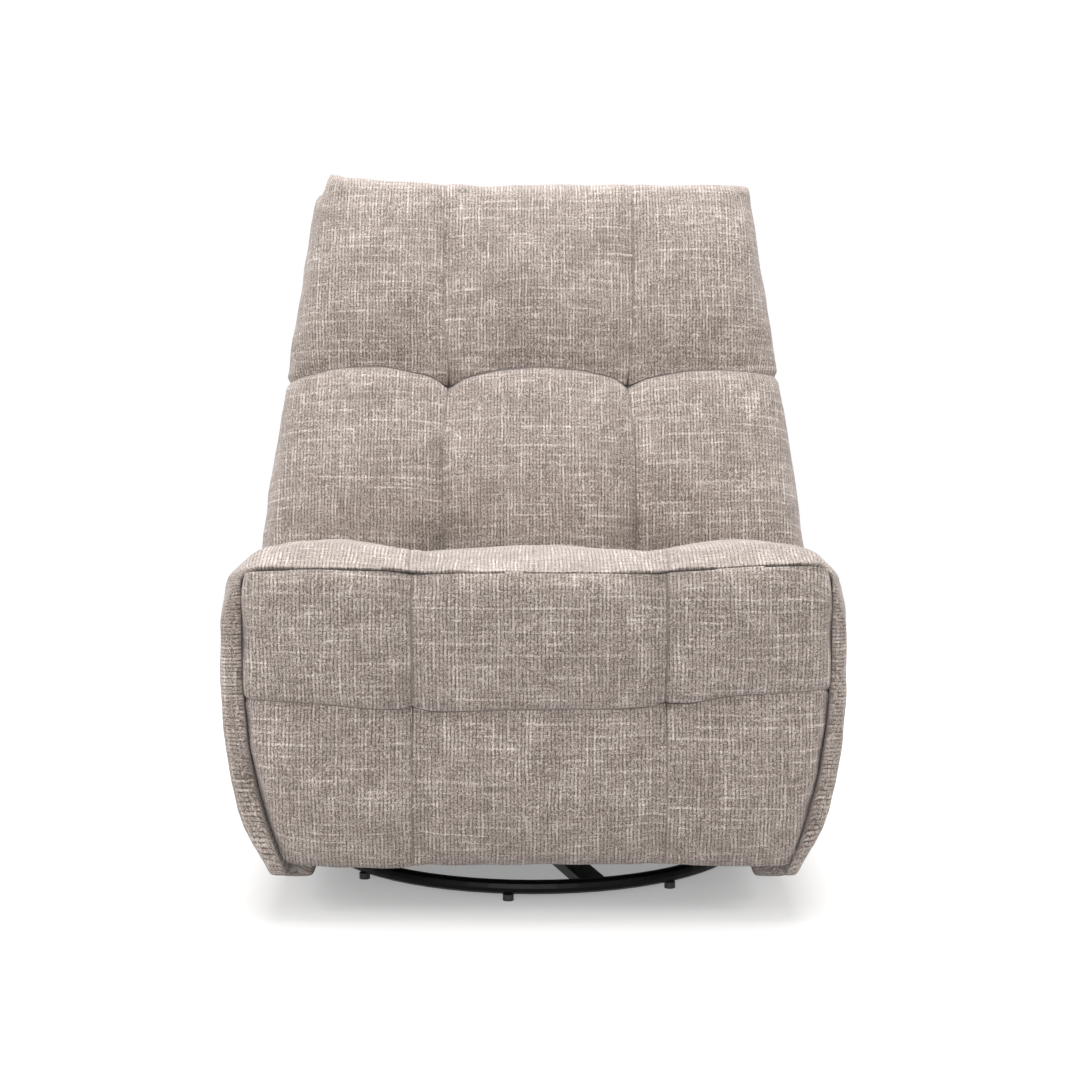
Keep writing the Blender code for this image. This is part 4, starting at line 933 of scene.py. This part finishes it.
def make_rear_panel():
    ob = cover_of("rear_panel_cover", "rear_panel")
    skin(ob, voxel=0.008)
    even_out(ob, 2)
    rest = points(ob)
    held = rest[:, 1] < REAR_HELD_Y
    slope = 0.5 * np.clip(rest[:, 1] - 0.264, 0, 0.028)
    rise = ease(0.20, 0.252, rest[:, 2]) * (0.013 + slope)
    move(ob, rest + rise[:, None] * (0, 0, 1))
    stuff(ob, held, pressure=1.0, cap=0.005)
    finer(ob)
    co = points(ob)
    co += outward(ob) * (hand_made(co) * ease(REAR_HELD_Y, REAR_FACE_Y, co[:, 1]))[:, None]
    move(ob, co)
    x, y, z = co.T
    u = x + np.sign(x) * ease(0.29, 0.313, np.abs(x)) * (REAR_FACE_Y - y)
    weave = on_cloth(u, z - y + REAR_PANEL_CUT)
    upholster(ob, "seat", ["rear_panel"], weave, np.ones_like(co))


make_back()
make_outer_back()
make_footrest()
make_seat()
make_rear_panel()


# Stage: white floor and surround, soft light from above and in front

def seen_directly(n):
    """1 for what the camera sees, also in reflections, and 0 for bounced light."""
    path = n.new("ShaderNodeLightPath").outputs
    seen = n.math('MAXIMUM', path["Is Camera Ray"], path["Is Glossy Ray"])
    return n.math('MAXIMUM', seen, path["Is Transmission Ray"])


def make_floor():
    """White to the camera, darker grey to bounced light, with the chair's own shadow."""
    n = new_material("studio_floor")
    seen = seen_directly(n)
    tint = n.mixed(n.noise(n.place(), 3.0), (0.78, 0.78, 0.78, 1), (0.82, 0.82, 0.82, 1))
    tint = n.mixed(seen, (0.46, 0.46, 0.46, 1), tint)
    material = n.surface(Base_Color=tint, Roughness=0.9, Emission_Color=WHITE,
                         Emission_Strength=n.math('MULTIPLY', seen, 0.30))
    bm = bmesh.new()
    bmesh.ops.create_circle(bm, cap_ends=True, segments=96, radius=2.2)
    mesh = bpy.data.meshes.new("floor")
    bm.to_mesh(mesh)
    bm.free()
    mesh.materials.append(material)
    link(bpy.data.objects.new("floor", mesh))


def make_world(light, strength):
    """White to the camera, and a weaker light on the chair."""
    world = bpy.data.worlds.new("studio")
    n = Nodes(world)
    n.tree.nodes.clear()
    room = n.new("ShaderNodeBackground", {"Color": (*light, 1), "Strength": strength}).outputs[0]
    white = n.new("ShaderNodeBackground", {"Color": WHITE, "Strength": 1.0}).outputs[0]
    mix = n.new("ShaderNodeMixShader", {0: seen_directly(n), 1: room, 2: white}).outputs[0]
    n.new("ShaderNodeOutputWorld", {0: mix})
    scene.world = world


def soft_box(name, place, aim, width, height, power):
    """A wide lamp that points at its aim."""
    lamp = bpy.data.lights.new(name, 'AREA')
    lamp.shape = 'RECTANGLE'
    lamp.size = width
    lamp.size_y = height
    lamp.energy = power
    ob = link(bpy.data.objects.new(name, lamp))
    ob.location = place
    ob.rotation_euler = (Vector(aim) - Vector(place)).to_track_quat('-Z', 'Y').to_euler()


make_floor()
make_world(light=(1.0, 0.99, 0.98), strength=0.27)
soft_box("overhead", (0.0, 0.75, 3.6), aim=(0, 0.1, 0.4), width=3.4, height=2.8, power=190)
soft_box("front_fill", (-0.4, -4.0, 0.95), aim=(0, 0, 0.5), width=2.6, height=1.7, power=56)
soft_box("left_fill", (-3.0, -1.2, 1.5), aim=(0, 0, 0.5), width=1.6, height=2.0, power=50)
soft_box("right_fill", (3.0, -1.2, 1.5), aim=(0, 0, 0.5), width=1.6, height=2.0, power=42)

camera = bpy.data.cameras.new("photograph")
camera.lens = CAMERA_LENS
camera.sensor_width = SENSOR_WIDTH
eye = link(bpy.data.objects.new("photograph", camera))
eye.location = (0, AXIS_Y - CAMERA_AWAY, CAMERA_HEIGHT)
eye.rotation_euler = (radians(90 - CAMERA_DIP), 0, 0)
scene.camera = eye
scene.view_settings.view_transform = 'Standard'
